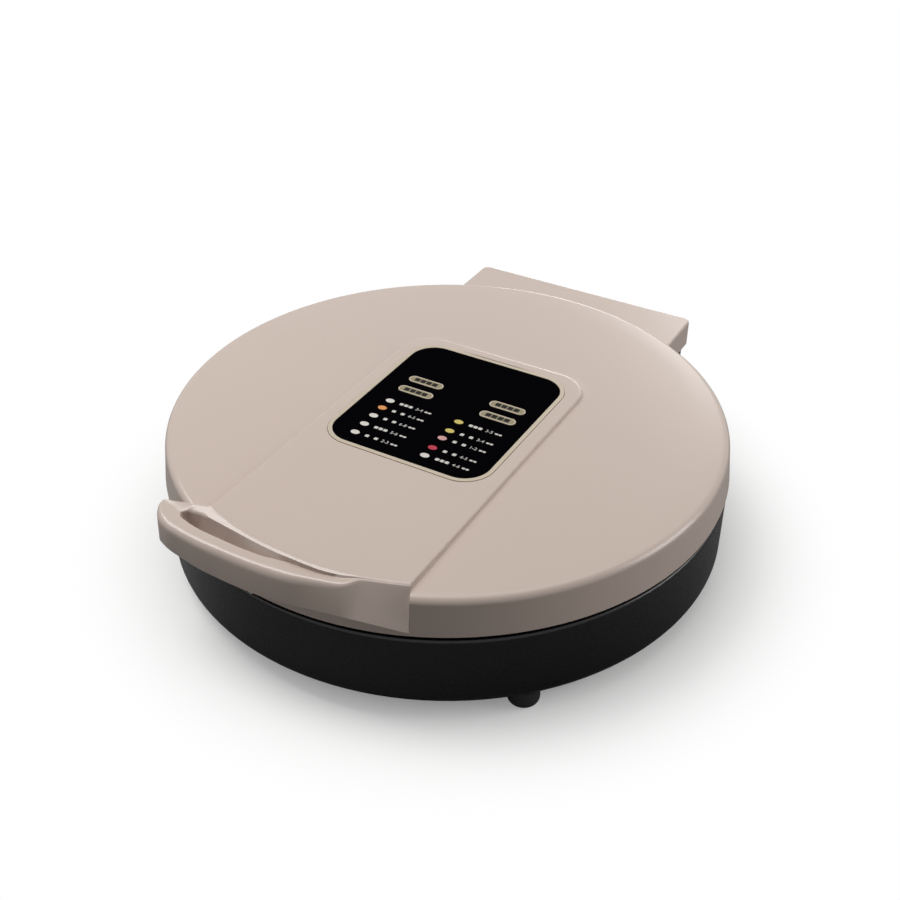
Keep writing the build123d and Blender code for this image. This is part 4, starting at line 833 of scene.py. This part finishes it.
class GRIDDLE_OT_studio(Operator):
    """Floor, soft lights and the camera at the photograph's angle"""

    bl_idname = "griddle.studio"
    bl_label = "Studio"

    def execute(self, context):
        studio = context.scene.griddle_studio
        self.floor(studio)
        self.lights(studio)
        self.camera(context)
        context.scene.view_settings.view_transform = "Standard"
        return {"FINISHED"}

    def floor(self, studio):
        """Square floor whose colour turns to plain white away from the griddle, and keeps the soft shadow near it."""
        half = 6.0
        mesh = bpy.data.meshes.new("floor")
        mesh.from_pydata([(-half, -half, 0), (half, -half, 0), (half, half, 0), (-half, half, 0)], [], [(0, 1, 2, 3)])
        material, tree, place, shader = new_finish("pale_floor")
        path = add(tree, "ShaderNodeLightPath")
        tone = add(
            tree, "ShaderNodeMix",
            {0: path.outputs["Is Camera Ray"], 6: [studio.floor_bounce] * 3 + [1.0], 7: list(studio.floor) + [1.0]},
            data_type="RGBA",
        )
        tree.links.new(tone.outputs[2], shader.inputs["Base Color"])
        shader.inputs["Roughness"].default_value = 0.9
        shader.inputs["Specular IOR Level"].default_value = 0.1
        reach = add(tree, "ShaderNodeVectorMath", {0: place}, operation="LENGTH")
        # Where the floor turns to white, in metres from the middle: near for the camera, and further out for what the
        # dark base mirrors.
        near, far = (
            add(
                tree, "ShaderNodeMapRange",
                {"Value": reach.outputs["Value"], "From Min": start, "From Max": end}, interpolation_type="SMOOTHSTEP",
            )
            for start, end in ((0.13, 0.26), (0.55, 1.60))
        )
        mirrored = add(
            tree, "ShaderNodeMath",
            {0: path.outputs["Is Glossy Ray"], 1: path.outputs["Is Transmission Ray"]}, operation="MAXIMUM",
        )
        mirrored = add(tree, "ShaderNodeMath", {0: mirrored.outputs[0], 1: far.outputs[0]}, operation="MULTIPLY")
        seen = add(
            tree, "ShaderNodeMath", {0: path.outputs["Is Camera Ray"], 1: near.outputs[0]}, operation="MULTIPLY"
        )
        share = add(tree, "ShaderNodeMath", {0: seen.outputs[0], 1: mirrored.outputs[0]}, operation="MAXIMUM")
        white = add(tree, "ShaderNodeEmission", {"Color": (1, 1, 1, 1), "Strength": 1.0})
        mixed = add(tree, "ShaderNodeMixShader", {0: share.outputs[0], 1: shader.outputs[0], 2: white.outputs[0]})
        output = next(n for n in tree.nodes if n.type == "OUTPUT_MATERIAL")
        tree.links.new(mixed.outputs[0], output.inputs["Surface"])
        mesh.materials.append(material)
        obj = bpy.data.objects.new("floor", mesh)
        bpy.context.scene.collection.objects.link(obj)

    def lights(self, studio):
        """Main softbox high on the left, weaker ones round it, and an even world that looks white where it is seen."""
        # Each lamp's name, power in watts, width and length, place and the point that it faces, in metres.
        for name, watts, size, spot, target in (
            ("key_softbox", studio.key_power, (1.30, 0.60), (-0.82, -0.13, 1.29), (-0.03, -0.17, 0.09)),
            ("overhead_softbox", studio.overhead_power, (1.2, 1.2), (0.0, 0.20, 1.45), (0, 0, 0.05)),
            ("front_softbox", studio.front_power, (0.8, 0.8), (-1.05, -0.75, 0.45), (0, 0, 0.05)),
            ("right_softbox", studio.right_power, (0.8, 0.8), (1.3, 0.55, 0.6), (0, 0, 0.05)),
            ("back_softbox", studio.back_power, (1.15, 0.16), (-0.40, 1.30, 0.30), (0, 0, 0.07)),
        ):
            light = bpy.data.lights.new(name, "AREA")
            light.energy = watts
            light.shape = "RECTANGLE"
            light.size, light.size_y = size
            obj = bpy.data.objects.new(name, light)
            away = np.array(spot) - np.array(target)
            away = away / np.linalg.norm(away)
            right = np.cross((0, 1, 0), away)
            right = right / np.linalg.norm(right)
            up = np.cross(away, right)
            rows = [(*row, s) for row, s in zip(np.array([right, up, away]).T, spot)]
            obj.matrix_world = Matrix(rows + [(0, 0, 0, 1)])
            bpy.context.scene.collection.objects.link(obj)
        world = bpy.data.worlds.new("even_light")
        world.use_nodes = True
        tree = world.node_tree
        tree.nodes.clear()
        path = add(tree, "ShaderNodeLightPath")
        seen = add(
            tree, "ShaderNodeMath",
            {0: path.outputs["Is Camera Ray"], 1: path.outputs["Is Glossy Ray"]}, operation="MAXIMUM",
        )
        seen = add(
            tree, "ShaderNodeMath", {0: seen.outputs[0], 1: path.outputs["Is Transmission Ray"]}, operation="MAXIMUM"
        )
        strength = add(
            tree, "ShaderNodeMapRange", {"Value": seen.outputs[0], "To Min": studio.ambient, "To Max": 1.0}
        )
        background = add(tree, "ShaderNodeBackground", {"Color": (1, 1, 1, 1), "Strength": strength.outputs[0]})
        add(tree, "ShaderNodeOutputWorld", {"Surface": background.outputs[0]})
        bpy.context.scene.world = world

    def camera(self, context):
        """Camera whose columns are its right, up and back directions, fitted to the photograph's outlines."""
        right = (0.86685841, 0.49855013, 0.00206728)
        up = (-0.28858160, 0.49838387, 0.81751708)
        back = (0.40654294, -0.70926814, 0.57590064)
        spot = (0.33939, -0.59982, 0.53600 + LIFT)
        camera = bpy.data.cameras.new("camera")
        camera.lens = 51.88
        camera.sensor_width = 36.0
        obj = bpy.data.objects.new("camera", camera)
        obj.matrix_world = Matrix([(r, u, b, s) for r, u, b, s in zip(right, up, back, spot)] + [(0, 0, 0, 1)])
        context.scene.collection.objects.link(obj)
        context.scene.camera = obj


class GRIDDLE_PT_sidebar(Panel):
    """Lists the griddle's pieces, sizes and studio"""

    bl_idname = "GRIDDLE_PT_sidebar"
    bl_label = "Griddle"
    bl_space_type = "VIEW_3D"
    bl_region_type = "UI"
    bl_category = "Griddle"

    def draw(self, context):
        for group in (context.scene.griddle_finishes, context.scene.griddle_sizes, context.scene.griddle_studio):
            column = self.layout.column(align=True)
            for name in group.__annotations__:
                column.prop(group, name)
        for operator in OPERATORS:
            self.layout.operator(operator.bl_idname)


GROUPS = (GriddleFinishes, GriddleSizes, GriddleStudio)
OPERATORS = (
    GRIDDLE_OT_lid, GRIDDLE_OT_mouldings, GRIDDLE_OT_plates, GRIDDLE_OT_hardware,
    GRIDDLE_OT_panel_marks, GRIDDLE_OT_key_marks, GRIDDLE_OT_studio,
)


def register():
    for kind in GROUPS + OPERATORS + (GRIDDLE_PT_sidebar,):
        bpy.utils.register_class(kind)
    bpy.types.Scene.griddle_finishes = PointerProperty(type=GriddleFinishes)
    bpy.types.Scene.griddle_sizes = PointerProperty(type=GriddleSizes)
    bpy.types.Scene.griddle_studio = PointerProperty(type=GriddleStudio)


def unregister():
    del bpy.types.Scene.griddle_studio
    del bpy.types.Scene.griddle_sizes
    del bpy.types.Scene.griddle_finishes
    for kind in reversed(GROUPS + OPERATORS + (GRIDDLE_PT_sidebar,)):
        bpy.utils.unregister_class(kind)


def main():
    register()
    bpy.ops.griddle.lid()
    bpy.ops.griddle.mouldings()
    bpy.ops.griddle.plates()
    bpy.ops.griddle.hardware()
    bpy.ops.griddle.panel_marks()
    bpy.ops.griddle.key_marks()
    bpy.ops.griddle.studio()


if __name__ == "__main__":
    main()
